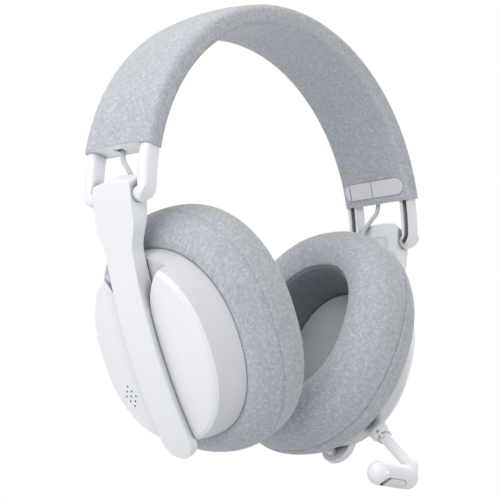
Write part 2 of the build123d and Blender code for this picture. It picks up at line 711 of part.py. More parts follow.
def control_openings():
    """Everything that the left shell's wall is opened for: controls, sockets and microphone."""
    gap = 2 * seam_gap
    button = SlotOverall(button_length + gap, button_height + gap)
    port = RectangleRounded(port_width + gap, port_height + gap, port_height / 2)
    openings = [
        wheel_place() * Cylinder(wheel_radius + gap, wheel_thickness + 2 * gap),
        control_cut(button_s, control_h, button),
        control_cut(port_s, control_h, port),
        control_cut(jack_s, jack_h, Circle(jack_body)),
        mic_frame().location * Cylinder(collar_spigot + thread_gap, spigot_length + 2 * shell_wall),
    ]
    return Compound(children=openings)


def control_cut(s, h, face):
    """Opening through the shell's wall for a control, of the face's shape."""
    return extrude(wall_plane(s, h) * face, amount=shell_wall + 1.5, both=True)


def face_dome():
    """Everything under the domed outside of the face plates."""
    return Pos(arm_bow_s, 0, face_rise - face_radius) * Sphere(face_radius)


def make_face_plate(side, half):
    """One of the two face plates beside the arm's channel; half is +1 for the rear one."""
    plate = loft([shell_outline(deck_h), shell_outline(0), shell_outline(-deck_h)]) & face_dome()
    rim = [e for e in plate.edges() if e.center().Z > deck_h + 0.5]
    plate = chamfer(rim, plate_bevel)
    plate -= channel()
    plate &= Pos(0, half * face_s, 0) * Box(4 * face_s, 2 * face_s, 2 * beyond)
    if side == "r" and half == 1:
        for row in range(-vent_rows, vent_rows + 1):
            for column in range(abs(row) - vent_rows, vent_rows - abs(row) + 1, 2):
                s, y = vent_s + row * vent_step_s, vent_y + column * vent_step_y
                plate -= Pos(s, y, 0) * Cylinder(vent_radius, beyond)
    return plate


def make_pivot_pins():
    """Upper and lower pivot pins of one cup."""
    return Compound(children=[pivot_pin("low"), pivot_pin("high")])


def baffle_outline(growth=0.0):
    """Outline of the baffle in the shell's rim."""
    return superellipse(rim_s - baffle_lip + growth, rim_y - baffle_lip + growth, rim_power)


def make_baffle():
    """Baffle: flange in the shell's rim and a stage towards the ear, with slots round the driver."""
    outside = prism(baffle_outline(-seam_gap), rim_h, rim_h + baffle_thickness)
    outside += prism(superellipse(stage_s, stage_y, face_power), stage_h, rim_h + 1)
    wall = baffle_thickness
    outside -= prism(superellipse(stage_s - wall, stage_y - wall, face_power), stage_h + wall, 0)
    outside -= prism(Circle(driver_radius + slide_gap), stage_h + wall - driver_recess, stage_h + wall + 1)
    for turn in range(0, 360, 45):
        slot = Rot(0, 0, turn) * Pos(sound_slot_middle, 0) * SlotOverall(*sound_slot)
        outside -= prism(slot, stage_h - 1, stage_h + 2 * wall)
    outside -= prism(Circle(sound_hole_radius), stage_h - 1, stage_h + 2 * wall)
    for seat in baffle_screw_places():
        outside -= seat * Cylinder(screw_radius + thread_gap, beyond)
    return outside


def baffle_screw_places():
    """Seats of the four screws through the baffle's flange, Z pointing to the ear."""
    return [Pos(s, y, rim_h) * Rot(180, 0, 0) for s in (-baffle_screw_s, baffle_screw_s)
            for y in (-baffle_screw_y, baffle_screw_y)]


def make_baffle_screws():
    """Heads on the ear's side, shanks through the flange into the shell's posts."""
    return Compound(children=[seat * screw(baffle_screw_length) for seat in baffle_screw_places()])


def make_driver():
    """Dynamic driver: rim, sloping basket and magnet cup, turned about the cup's axis."""
    front = stage_h + baffle_thickness - driver_recess
    back = front + driver_depth
    basket = front + driver_basket
    profile = Polyline((0, front + driver_cone), (driver_seat - 5, front + driver_cone / 3),
                       (driver_seat, front), (driver_radius, front), (driver_radius, front + driver_rim),
                       (driver_seat, front + driver_rim + 1), (magnet_radius + 2, basket),
                       (magnet_radius, basket), (magnet_radius, back), (0, back), close=True)
    return revolve(Plane.XZ * make_face(profile), axis=Axis.Z)


def make_speaker_cloth():
    """Stiffened cloth on the stage, inside the cushion's well."""
    outline = superellipse(stage_s - cloth_margin, stage_y - cloth_margin, face_power)
    return prism(outline, stage_h - cloth_thickness, stage_h)


def ring_outline(growth=0.0):
    """Outside of the pad ring."""
    around = ring_start + 2 * ring_width + growth
    return superellipse(stage_s + around, stage_y + around, face_power)


def make_pad_ring():
    """Ring that the cushion's skin is stretched over; it clips to the baffle's flange."""
    high = rim_h - journal_gap
    bore = superellipse(stage_s + ring_bore_gap, stage_y + ring_bore_gap, face_power)
    ring = prism(ring_outline(), high - ring_thickness, high) - prism(bore, 2 * rim_h, 0)
    for seat in baffle_screw_places():
        ring -= seat * Cylinder(screw_head_radius + soft_gap, 4 * ring_thickness)
    return ring


def make_cushion():
    """Plain closed form of the cushion: bulging ring with the ear's well."""
    sections = [superellipse(rim_s + cushion_lap, rim_y + cushion_lap, rim_power, cushion_back_h)]
    for inset, h in ((1.5, cushion_widest_h + 2.2), (0, cushion_widest_h - 3.0),
                     (0.8, cushion_front_h + 8.0), (cushion_shoulder, cushion_front_h)):
        sections.append(superellipse(cushion_s - inset, cushion_y - inset, cushion_power, h))
    ring = loft(sections)
    well = loft([superellipse(stage_s + well_room, stage_y + well_room, face_power, cushion_back_h + 1),
                 superellipse(well_s, well_y, cushion_power, cushion_front_h - 1)])
    ring -= well
    ring -= prism(ring_outline(soft_gap), rim_h - ring_thickness - journal_gap - soft_gap, 0)
    return ring


# ================================================================ electronics and controls
def make_circuit_board():
    """Board under the deck, with the wheel's post and the button's switch on its lower side."""
    low = board_h - board_thickness
    across, along = board_s[1] - board_s[0], board_y[1] - board_y[0]
    middle = ((board_s[0] + board_s[1]) / 2, (board_y[0] + board_y[1]) / 2)
    board = prism(Pos(*middle) * RectangleRounded(across, along, board_corner), low, board_h)
    inside = shell_outline(board_h, shell_wall + board_margin).moved(Pos(0, 0, -board_h))
    board &= prism(inside, low, board_h)
    wheel_origin = wheel_place().position
    post = low - control_h + wheel_thickness / 2 + wheel_post_end
    board += Pos(wheel_origin.X, wheel_origin.Y, low) * rod(wheel_post, -post)
    wall_y = wall_plane(button_s, control_h).origin.Y
    face = wall_y - flange_depth() - button_flange - button_stem - button_travel - slide_gap
    switch = Box(switch_length, face - board_y[1] + switch_on_board, switch_drop,
                 align=(Align.CENTER, Align.MAX, Align.MAX))
    return board + Pos(button_s, face, low) * switch


def flange_depth():
    """How far in from the shell's outer wall the button's flange starts, clear of the leaning wall."""
    return shell_wall + (button_height / 2 + button_lip) * wall_lean + 3 * seam_gap


def make_power_button():
    """Button cap that follows the wall, its retaining flange inside, and a stem to the switch."""
    start = flange_depth()
    cap = Pos(0, 0, -start) * extrude(SlotOverall(button_length, button_height), amount=2 * start)
    raised = loft([shell_outline(h, -button_rise) for h in (0.2 * rim_h, 0.55 * rim_h, rim_h)])
    cap = (wall_plane(button_s, control_h).location * cap) & raised
    flange = SlotOverall(button_length + 2 * button_lip, button_height + 2 * button_lip)
    inside = Pos(0, 0, -start - button_flange) * extrude(flange, amount=button_flange)
    inside += rod(button_stem_radius, -button_stem, -start - button_flange)
    return cap + wall_plane(button_s, control_h).location * inside


def wheel_place():
    """The volume wheel's centre, its axle along h."""
    centre = wall_plane(wheel_s, control_h).location * Pos(0, 0, wheel_out - wheel_radius)
    return Pos(*centre.position)


def make_volume_wheel():
    """Knurled thumb wheel that turns on the board's post."""
    tooth = 2 * pi * wheel_radius / wheel_teeth / 2
    profile = Circle(wheel_radius)
    for turn in range(wheel_teeth):
        profile -= Rot(0, 0, 360 * turn / wheel_teeth) * Pos(wheel_radius, 0) * Circle(tooth / 2)
    profile -= Circle(wheel_post + journal_gap)
    return wheel_place() * extrude(profile, amount=wheel_thickness / 2, both=True)


def make_usb_port():
    """Charging socket: rounded metal shell with its contact tongue."""
    face = RectangleRounded(port_width, port_height, port_height / 2 - 0.05)
    inside = offset(face, amount=-port_wall)
    port = extrude(face, amount=port_depth) - Pos(0, 0, port_floor) * extrude(inside, amount=port_depth)
    port += Pos(0, 0, port_depth / 2) * Box(port_tongue[0], port_tongue[1], port_depth - port_floor)
    sunk = port_height / 2 * wall_lean
    return wall_plane(port_s, control_h).location * Pos(0, 0, -sunk - port_depth) * port


def make_audio_jack():
    """Blind 3.5 mm socket, sunk until its face lies inside the leaning wall."""
    body = rod(jack_body - journal_gap, -jack_depth - jack_floor) - rod(jack_radius, -jack_depth)
    return wall_plane(jack_s, jack_h).location * Pos(0, 0, -jack_body * wall_lean) * body


def make_battery():
    """Battery of the right cup, under the deck behind the channel."""
    length, width, depth = battery_size
    cell = Pos(0, battery_y, board_h - depth / 2) * Box(length, width, depth)
    return fillet(cell.edges().filter_by(Axis.X), battery_edge)


# ================================================================ microphone
def mic_frame():
    """Frame on the microphone's axis where it leaves the cup, Z along the boom, in the cup frame."""
    along = Vector(mic_direction[0], mic_direction[1], 0).normalized()
    return Plane(origin=mic_base, x_dir=(0, 0, 1), z_dir=along)


def make_mic_socket():
    """Tapering collar on the cup's wall, with the plug's bore and two key notches in its end."""
    profile = Polyline((0, -collar_root), (collar_base_radius, -collar_root),
                       (collar_base_radius, collar_base), (collar_waist_radius, collar_waist),
                       (collar_end_radius, collar_length), (0, collar_length), close=True)
    collar = mic_frame().location * revolve(Plane.XZ * make_face(profile), axis=Axis.Z) - shell_form()
    collar += mic_frame().location * Cylinder(collar_spigot, spigot_length)
    bore = rod(mic_plug_radius + journal_gap, 2 * beyond, collar_length - mic_plug_length)
    notch = Pos(0, 0, collar_length) * Box(4 * collar_end_radius, collar_notch, 2 * notch_depth)
    return collar - mic_frame().location * (bore + notch)


def make_mic_boom():
    """Boom tube with its plug and the two keys that fit the collar's notches."""
    tube_start = collar_length + slide_gap
    tube = rod(mic_tube_radius, mic_reach - tube_start, tube_start)
    tube += rod(mic_plug_radius, mic_plug_length, collar_length - mic_plug_length + 2 * seam_gap)
    key = Box(2 * collar_end_radius, collar_notch - 2 * journal_gap, notch_width,
              align=(Align.CENTER, Align.CENTER, Align.MIN))
    return mic_frame().location * (tube + Pos(0, 0, collar_length - notch_depth + 2 * seam_gap) * key)


def tube_end():
    """End of the boom's tube in the row frame."""
    return (cup_frame("l").location * mic_frame().location * Pos(0, 0, mic_reach)).position


def capsule_place():
    """The capsule's outer centre in the row frame, its Z along the capsule, to the wearer's right."""
    outer = tube_end() - Vector(capsule_inset, 0, capsule_drop)
    tilt = radians(capsule_tilt)
    return Plane(origin=outer, x_dir=(0, -1, 0), z_dir=(-cos(tilt), 0, sin(tilt))).location


def taper_between_balls(radius, end_radius, end):
    """Both balls, at the origin and at a point, and the cone that touches them all round."""
    length = end.length
    lean = (radius - end_radius) / length
    across = sqrt(1 - lean ** 2)
    along = length + (end_radius - radius) * lean
    cone = loft([Circle(radius * across).face(), Pos(0, 0, along) * Circle(end_radius * across).face()])
    cone = Plane(origin=(0, 0, 0), z_dir=end).location * Pos(0, 0, radius * lean) * cone
    return Sphere(radius) + cone + Pos(*end) * Sphere(end_radius)


def capsule_form():
    """The closed outside of the capsule: a round-ended body, and the elbow round the tube's end."""
    body = Sphere(capsule_radius) + rod(capsule_radius, capsule_span)
    body += Pos(0, 0, capsule_span) * Sphere(capsule_radius)
    tube = (capsule_place().inverse() * Pos(*tube_end())).position
    return body + taper_between_balls(capsule_radius, mic_tube_radius + elbow_wall, tube)


def mute_recess(length, inset=0.0):
    """The mute switch's slot in the capsule, open through its surface, in the capsule's frame."""
    face = SlotOverall(length - 2 * inset, mute_width - 2 * inset)
    floor = Plane(origin=(0, 0, mute_middle), x_dir=(0, 0, 1), z_dir=(1, 0, 0)).location * Pos(
        0, 0, capsule_radius - mute_depth)
    return Rot(0, 0, -mute_turn) * floor * extrude(face, amount=beyond)


def led_bore(radius):
    """The light pipe's bore, straight ahead through the capsule's wall, in the capsule's frame."""
    outward = Plane(origin=(0, 0, led_along), x_dir=(0, 0, 1), z_dir=(1, 0, 0)).location
    return outward * rod(radius, beyond, capsule_radius - led_depth)


def make_mic_capsule():
    """Capsule: pocket for the element, sound holes on the mouth's side, light pipe, switch slot."""
    body = capsule_form()
    pocket = Pos(0, 0, capsule_span) * Cylinder(element_radius + seam_gap, element_depth + 2 * seam_gap)
    body -= pocket
    for turn in (-sound_spread, 0, sound_spread):
        hole = Plane(origin=(0, 0, capsule_span), z_dir=(-1, 0, 0)).location * rod(sound_bore, beyond)
        body -= Rot(0, 0, turn) * hole
    body -= mute_recess(mute_length + mute_travel + 2 * seam_gap)
    body -= led_bore(led_radius + thread_gap)
    return capsule_place() * body - cup_frame("l").location * make_mic_boom()


def make_mic_led():
    """Light pipe beside the switch, flush with the capsule."""
    return capsule_place() * (led_bore(led_radius) & capsule_form())


def make_mic_element():
    """Microphone element in the capsule's far end."""
    return capsule_place() * Pos(0, 0, capsule_span) * Cylinder(element_radius, element_depth)


def make_mute_switch():
    """Sliding mute switch, at the outer end of its recess."""
    knob = Pos(0, 0, -mute_travel / 2) * mute_recess(mute_length, seam_gap)
    knob &= Cylinder(capsule_radius + mute_proud, 4 * capsule_span)
    knob -= Rot(0, 0, -mute_turn) * Pos(capsule_radius - mute_depth, 0, 0) * Box(
        2 * seam_gap, 4 * mute_width, 8 * capsule_span)
    return capsule_place() * knob


# ================================================================ leads
def lead_points(side):
    """Route of a lead as drawn for the left side: bore in the band, past the arm, into the cup."""
    points = []
    for angle in (lead_top_angle, band_half_angle + 1.7):
        x, z = arc_point(lead_arc_radius, angle)
        points.append(Vector(x, lead_y, z))
    points += [Vector(trunnion_x + x, y, trunnion_z + z) for x, y, z in lead_routes[side]]
    points.append((cup_frame("l").location * Pos(*lead_end)).position)
    return points


def make_lead(side):
    """Round lead along its route, each bend as wide as its two runs allow."""
    points = lead_points(side)
    radii = []
    for before, corner, after in zip(points, points[1:], points[2:]):
        turn = (corner - before).get_angle(after - corner)
        shorter = min((corner - before).length, (after - corner).length)
        radii.append(0.45 * shorter / tan(radians(turn / 2)))
    print(f"lead_{side} bend radii", [round(radius, 1) for radius in radii])
    path = FilletPolyline(*points, radius=radii)
    lead = sweep(Plane(origin=path @ 0, z_dir=path % 0) * Circle(lead_radius), path=path)
    print(f"lead_{side} volume", round(lead.volume, 2), "of", round(pi * lead_radius ** 2 * path.length, 2))
    return lead if side == "l" else mirror(lead, about=Plane.YZ)


# ================================================================ the whole headset
def make_pieces():
    """Every piece of the headset, placed in the row frame, by its node's name."""
    pieces = {
        "band_cover": make_band_cover(),
        "band_pad": make_band_pad(),
        "spring_strip": make_spring_strip(),
        "band_screws": make_band_screws(),
        "inner_trim": make_trim(),
        "mic_capsule": make_mic_capsule(),
        "mic_element": make_mic_element(),
        "mic_led": make_mic_led(),
        "mute_switch": make_mute_switch(),
    }
    for side in ("l", "r"):
        fork = make_fork()
        pieces[f"end_housing_{side}"] = make_end_housing(side)
        pieces[f"fork_{side}"] = fork if side == "l" else mirror(fork, about=Plane.YZ)
        pieces[f"lead_{side}"] = make_lead(side)
        cup_pieces = {
            "arm_shell": make_arm_shell(),
            "arm_cover": make_arm_cover(),
            "arm_screws": make_arm_screws(),
            "cup_shell": make_cup_shell(side),
            "front_plate": make_face_plate(side, -1),
            "rear_plate": make_face_plate(side, 1),
            "pivot_pins": make_pivot_pins(),
            "baffle": make_baffle(),
            "baffle_screws": make_baffle_screws(),
            "driver": make_driver(),
            "speaker_cloth": make_speaker_cloth(),
            "pad_ring": make_pad_ring(),
            "cushion": make_cushion(),
        }
        for name, solid in cup_pieces.items():
            pieces[f"{name}_{side}"] = place(solid, side)
    left_only = {
        "circuit_board": make_circuit_board(),
        "power_button": make_power_button(),
        "volume_wheel": make_volume_wheel(),
        "usb_port": make_usb_port(),
        "audio_jack": make_audio_jack(),
        "mic_socket": make_mic_socket(),
        "mic_boom": make_mic_boom(),
    }
    for name, solid in left_only.items():
        pieces[name] = place(solid, "l")
    pieces["battery"] = place(make_battery(), "r")
    return pieces


if __name__ == "__main__":
    os.makedirs("parts", exist_ok=True)
    for name, solid in make_pieces().items():
        export_step(solid, f"parts/{name}.step")
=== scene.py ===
"""Over-ear gaming headset as an add-on: covers, cushions, leads, screws, finishes and a studio."""

import json
from contextlib import contextmanager
from functools import partial
from math import copysign, cos, hypot, pi, radians, sin, sqrt

import bmesh
import bpy
from mathutils import Matrix, Vector


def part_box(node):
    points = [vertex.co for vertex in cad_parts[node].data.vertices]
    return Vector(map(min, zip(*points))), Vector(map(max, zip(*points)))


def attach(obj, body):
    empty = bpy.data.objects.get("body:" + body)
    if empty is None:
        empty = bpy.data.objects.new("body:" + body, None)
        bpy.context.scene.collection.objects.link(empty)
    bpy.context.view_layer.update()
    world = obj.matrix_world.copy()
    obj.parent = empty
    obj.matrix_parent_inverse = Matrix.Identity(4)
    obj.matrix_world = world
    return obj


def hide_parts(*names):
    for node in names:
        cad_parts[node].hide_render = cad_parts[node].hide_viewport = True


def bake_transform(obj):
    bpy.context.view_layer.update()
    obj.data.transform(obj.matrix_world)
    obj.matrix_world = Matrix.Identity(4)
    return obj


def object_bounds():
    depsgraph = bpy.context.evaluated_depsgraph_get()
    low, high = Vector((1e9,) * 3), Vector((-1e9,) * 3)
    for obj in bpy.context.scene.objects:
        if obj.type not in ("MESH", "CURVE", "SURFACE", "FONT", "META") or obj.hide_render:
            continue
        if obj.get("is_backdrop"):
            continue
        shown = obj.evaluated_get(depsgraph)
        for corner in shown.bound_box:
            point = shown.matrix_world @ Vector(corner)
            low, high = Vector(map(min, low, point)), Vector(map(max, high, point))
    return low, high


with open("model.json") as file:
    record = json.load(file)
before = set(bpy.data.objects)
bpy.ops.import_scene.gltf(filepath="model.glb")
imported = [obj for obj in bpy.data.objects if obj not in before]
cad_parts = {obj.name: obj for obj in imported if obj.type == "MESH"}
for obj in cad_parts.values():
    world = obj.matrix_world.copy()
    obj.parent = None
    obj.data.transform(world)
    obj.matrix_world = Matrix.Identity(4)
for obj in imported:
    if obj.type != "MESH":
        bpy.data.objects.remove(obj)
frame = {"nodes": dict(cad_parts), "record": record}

bl_info = {
    "name": "Gaming headset",
    "version": (1, 0, 0),
    "blender": (4, 5, 0),
    "location": "3D View > Sidebar > Headset",
    "description": "Builds the headset's knit covers, leads, screws, finishes and studio",
    "category": "Object",
}

MM = 0.001
# The sign of X on the wearer's left and right.
SIDES = {"l": 1, "r": -1}
# The largest value of one colour channel in a hex colour.
FULL_CHANNEL = 255

# ---------------------------------------------------------------- sizes shared by several pieces
# The band's arc lies in the X-Z plane about this centre, and angles run from the crown.
BAND_INNER_RADIUS = 78.3 * MM
BAND_CENTRE = Vector((0, 0, -BAND_INNER_RADIUS))
BAND_THICKNESS = 9.0 * MM
BAND_CROWN = 1.3 * MM
BAND_WIDTH = 37.6 * MM
BAND_HALF_ANGLE = radians(79.2)
BAND_OUTER_EDGE = 3.0 * MM
BAND_INNER_EDGE = 2.2 * MM
# The pill-shaped trim's height, and the gap that the sleeve leaves round it.
TRIM_HEIGHT = 7.6 * MM
TRIM_GAP = 0.3 * MM

# Each lead's route past the arm into the cup, in mm from the trunnion's middle, as on the left.
LEAD_ARC_RADIUS = 82.3 * MM
LEAD_Y = 1.0 * MM
LEAD_ANGLES = (72.5, 80.9)
LEAD_ROUTES = {
    "l": [(-3.5, 5.0, 11.3), (-6.2, 8.4, 5.2), (-7.8, 7.4, -4.4), (-9.8, 5.2, -14.2)],
    "r": [(-3.7, -1.6, 11.0), (-6.0, -3.4, 4.8), (-7.8, -0.9, -4.4), (-9.9, 2.6, -14.0)],
}
# The lead's end inside the shell, in the cup's own frame.
LEAD_END = (-35.5, 4.2, -10.4)
LEAD_RADIUS = 1.0 * MM

# The diamond of vent holes in the right cup's rear plate, in mm in the cup's own frame.
VENT_MIDDLE = (16.0, 18.4)
VENT_STEP = (2.15, 1.47)
VENT_RADIUS = 0.43
VENT_ROWS = 2
# Depth and thickness of the black discs that paint shade into the vent holes.
VENT_PAINTED_SHADE_DEPTH, VENT_PAINTED_SHADE_THICKNESS = 0.15, 0.1
# The face plates are cut from a sphere, and this is the height of its top.
PLATE_RISE, PLATE_RADIUS = 1.7, 230.0

# How far the ear face's mount lies in front of the cup's own frame.
CUSHION_FRONT = 44.6 * MM
# Frames for which a cover's cloth simulation runs.
SWELL_FRAMES = 20
# Push of the foam under the band's sleeve, and the furthest that it moves the cover.
BAND_PRESSURE, BAND_SWELL = 1.5, 0.25 * MM

# Length and width of one bar of a screw's cross recess, and its depth.
CROSS_BAR, CROSS_DEPTH = (2.2 * MM, 0.5 * MM), 0.8 * MM
# How far a head's rim may lie under its top, and how far its top's own points may.
HEAD_ROUNDING, HEAD_FLATNESS = 0.4 * MM, 0.05 * MM

# The camera's place in mm and the direction in which it looks.
CAMERA_PLACE = (-531.1, -488.5, -202.8)
CAMERA_LOOK = (0.7227, 0.6747, 0.1500)
# Each softbox: its place from the object's middle, its width and its share of the key's power.
SOFTBOXES = {
    "key": ((-1.4, -0.42, 0.9), 1.4, 1.0),
    "top": ((-0.2, 0.4, 1.6), 1.6, 0.72),
    "fill": ((0.7, -1.5, 0.2), 1.2, 0.2),
    "side": ((1.5, 0.6, 0.5), 1.4, 0.5),
}
# The white room lights things a little cooler than the lamps do.
ROOM_LIGHT = (0.985, 0.992, 1.0, 1)
# The floor's radius, its drop below the lowest point or camera, and where it fades to white.
FLOOR_RADIUS, FLOOR_DROP = 3.0, 8 * MM
FLOOR_FADE = (0.4, 1.4)
WHITE = (1, 1, 1, 1)


# ================================================================ settings
def colour_setting(name, what, default):
    """A setting that holds an sRGB hex colour."""
    return bpy.props.StringProperty(
        name=name, description=f"Colour of {what}, as sRGB hex", default=default)


def length_setting(name, description, default):
    """A setting that holds a length, with its default in mm."""
    return bpy.props.FloatProperty(
        name=name, description=description, default=default * MM, unit="LENGTH")


class ShellSettings(bpy.types.PropertyGroup):
    """Moulded plastic of the forks, arms, cups and microphone."""

    white: colour_setting("White", "the moulded white plastic", "eff0f3")
    # Painted shade: the cups' flared walls take a darker copy of the white plastic, for the shade
    # on them.
    wall_shaded_white: colour_setting("Shaded wall white", "the cups' flared walls", "d6d7db")
    inner_white: colour_setting("Inner white", "the arms' inner covers", "e6e7ea")
    trim: colour_setting("Trim", "the pill-shaped trim in the band", "e0e0e5")
    roughness: bpy.props.FloatProperty(
        name="Roughness", description="How matt the white plastic is", default=0.36, min=0, max=1)
    edge_round: length_setting("Edge round", "Radius that light catches along moulded edges", 0.25)


class KnitSettings(bpy.types.PropertyGroup):
    """Heather knit over the band and the cushions."""

    light_yarn: colour_setting("Light yarn", "the light stitches", "c6cacf")
    dark_yarn: colour_setting("Dark yarn", "the dark stitches", "b0b5bb")
    # Painted shade: the ear's well takes darker copies of the knit's yarn colours, for the shade
    # inside the well.
    wall_shaded_yarn: colour_setting("Wall shaded yarn", "the light stitches in the ear's well", "8d949a")
    wall_shaded_dark_yarn: colour_setting(
        "Wall shaded dark yarn", "the dark stitches in the ear's well", "7d848a")
    row_pitch: length_setting("Row pitch", "Distance from one row of stitches to the next", 0.95)
    band_pitch: length_setting(
        "Band pitch", "The same on the headband, where the cover is less stretched", 0.9)
    stitch_pitch: length_setting("Stitch pitch", "Length of one stitch along its row", 1.0)
    cloth_thickness: length_setting("Cloth thickness", "Thickness of the band's knit sleeve", 0.5)


class CushionSettings(bpy.types.PropertyGroup):
    """Ear cushions: foam rings in three sewn panels."""

    seam_depth: length_setting("Seam depth", "How far a sewn seam pulls the cover in", 1.3)
    swell: length_setting("Swell", "Furthest that the foam pushes the cover out between seams", 0.9)
    pressure: bpy.props.FloatProperty(
        name="Pressure", description="Push of the foam in the cloth simulation", default=3.0)
    columns: bpy.props.IntProperty(
        name="Columns", description="Faces round the ring before subdivision", default=112)


class StudioSettings(bpy.types.PropertyGroup):
    """Floor, lamps and camera."""

    lens: bpy.props.FloatProperty(
        name="Lens", description="Focal length on a 36 mm wide sensor", default=123.94)
    key: bpy.props.FloatProperty(
        name="Key lamp", description="Power of the large softbox", default=19.0, subtype="POWER")
    ambient: bpy.props.FloatProperty(
        name="Ambient", description="Strength of the white room's light", default=0.36)
    floor: colour_setting("Floor", "the floor", "f4f4f4")
    floor_bounce: colour_setting("Floor bounce", "the light that the floor sends back up", "e0e1e3")


# ================================================================ small helpers
def settings(name):
    """The values of one of the property groups."""
    return getattr(bpy.context.scene, f"headset_{name}")


def linear(hex_colour):
    """An sRGB hex colour as linear red, green, blue and alpha."""
    channels = [int(hex_colour[i:i + 2], 16) / FULL_CHANNEL for i in (0, 2, 4)]
    return [c / 12.92 if c <= 0.04045 else ((c + 0.055) / 1.055) ** 2.4 for c in channels] + [1.0]


def add_node(tree, kind, inputs=None, **settings_):
    """Adds a node with its settings; an input takes a value, a socket or a node's first output."""
    new = tree.nodes.new(f"ShaderNode{kind}")
    for name, value in settings_.items():
        setattr(new, name, value)
    for name, value in (inputs or {}).items():
        if isinstance(value, bpy.types.Node):
            value = next(socket for socket in value.outputs if socket.enabled)
        if isinstance(value, bpy.types.NodeSocket):
            tree.links.new(value, new.inputs[name])
        else:
            new.inputs[name].default_value = value
    return new


def new_material(name):
    """A material without nodes, and what adds a node to it."""
    material = bpy.data.materials.new(name)
    material.use_nodes = True
    material.node_tree.nodes.clear()
    return material, partial(add_node, material.node_tree)


def paint(piece, material):
    """Gives a piece its only material."""
    piece.data.materials.clear()
    piece.data.materials.append(material)


def new_object(name, data):
    """Puts a new object with this data into the scene."""
    made = bpy.data.objects.new(name, data)
    bpy.context.scene.collection.objects.link(made)
    return made


def clear_selection():
    """Leaves object mode with nothing selected."""
    if bpy.context.object and bpy.context.object.mode != "OBJECT":
        bpy.ops.object.mode_set(mode="OBJECT")
    bpy.ops.object.select_all(action="DESELECT")


def make_active(piece):
    """Selects one object alone."""
    clear_selection()
    piece.select_set(True)
    bpy.context.view_layer.objects.active = piece


@contextmanager
def editing(piece):
    """Edit mode on one object, with all of it selected."""
    make_active(piece)
    bpy.ops.object.mode_set(mode="EDIT")
    bpy.ops.mesh.select_all(action="SELECT")
    yield
    bpy.ops.object.mode_set(mode="OBJECT")


def join_pieces(pieces, into):
    """Joins several objects into one of them."""
    clear_selection()
    for piece in pieces:
        piece.select_set(True)
    bpy.context.view_layer.objects.active = into
    bpy.ops.object.join()


def apply_modifier(piece, kind, **settings_):
    """Adds a modifier and applies it."""
    make_active(piece)
    modifier = piece.modifiers.new(kind.title(), kind)
    for name, value in settings_.items():
        setattr(modifier, name, value)
    bpy.ops.object.modifier_apply(modifier=modifier.name)


def cut_away(piece, cutter):
    """Cuts the cutter's form out of a piece and removes the cutter."""
    apply_modifier(piece, "BOOLEAN", operation="DIFFERENCE", object=cutter, solver="EXACT")
    bpy.data.objects.remove(cutter)


def smooth(piece, angle=35):
    """Shades a piece smooth except at edges sharper than the angle."""
    make_active(piece)
    bpy.ops.object.shade_smooth_by_angle(angle=radians(angle))


def finish_piece(piece, body, slot, *replaced):
    """Attaches a finished piece to its body and hides the nodes that it stands for; the slot is not
    used.
    """
    if replaced:
        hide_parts(*replaced)
    if body:
        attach(piece, body)


def copy_node(node, name, material):
    """A new piece with a CAD node's form, its loose triangles merged."""
    source = frame["nodes"][node]
    piece = source.copy()
    piece.data = source.data.copy()
    piece.name = name
    for key in list(piece.keys()):
        del piece[key]
    piece.parent = None
    bpy.context.scene.collection.objects.link(piece)
    paint(piece, material)
    with editing(piece):
        bpy.ops.mesh.remove_doubles(threshold=0.002 * MM)
    return piece


def cup_matrix(side):
    """From a cup's own frame (down the face, to the rear, outwards) to the row frame."""
    mount = next(m for m in frame["record"]["mounts"] if m["name"] == f"ear_face_{side}")
    out = -Vector(mount["axis"]).normalized()
    rear = Vector((0, 1, 0))
    down = Vector((-abs(out.z) * SIDES[side], 0, -abs(out.x)))
    origin = Vector(mount["pos_m"]) + out * CUSHION_FRONT
    return Matrix.Translation(origin) @ Matrix((down, rear, out)).transposed().to_4x4()


def oval(half_s, half_y, power, turn):
    """Point of a rounded oblong at a turn round the cup's face."""
    across, along = cos(turn), sin(turn)
    return (half_s * copysign(abs(across) ** (2 / power), across),
            half_y * copysign(abs(along) ** (2 / power), along))


def oval_ring(half_s, half_y, power, height, columns):
    """Points round one line of a cushion, a cloth or a foam disc, from sizes in mm."""
    return [Vector((*oval(half_s, half_y, power, 2 * pi * column / columns), height)) * MM
            for column in range(columns)]


def curve_through(points, steps):
    """Points on a smooth curve through the given ones, steps to each run, without the last one."""
    padded = [points[0]] + list(points) + [points[-1]]
    found = []
    for a, b, c, d in zip(padded, padded[1:], padded[2:], padded[3:]):
        for step in range(steps):
            t = step / steps
            found.append(tuple(
                0.5 * (2 * q + (r - p) * t + (2 * p - 5 * q + 4 * r - s) * t ** 2
                       + (3 * q - p - 3 * r + s) * t ** 3)
                for p, q, r, s in zip(a, b, c, d)))
    return found


def quilt(name, rings, place_in_cloth=lambda *_: (0, 0), joined=False):
    """Quads between neighbouring rings of points; each corner keeps its place in the flat cloth."""
    columns = len(rings[0])
    rows = len(rings) if joined else len(rings) - 1
    faces, places = [], []
    for row in range(rows):
        for column in range(columns):
            corners = ((row, column), (row, column + 1), (row + 1, column + 1), (row + 1, column))
            faces.append([(r % len(rings)) * columns + c % columns for r, c in corners])
            places += [place_in_cloth(row, r, c) for r, c in corners]
    mesh = bpy.data.meshes.new(name)
    mesh.from_pydata([point for ring in rings for point in ring], [], faces)
    layer = mesh.uv_layers.new(name="cloth")
    for corner, place in zip(layer.data, places):
        corner.uv = place
    return new_object(name, mesh)


def face_outwards(piece):
    """Turns every face of a closed form to the outside."""
    with editing(piece):
        bpy.ops.mesh.normals_make_consistent(inside=False)


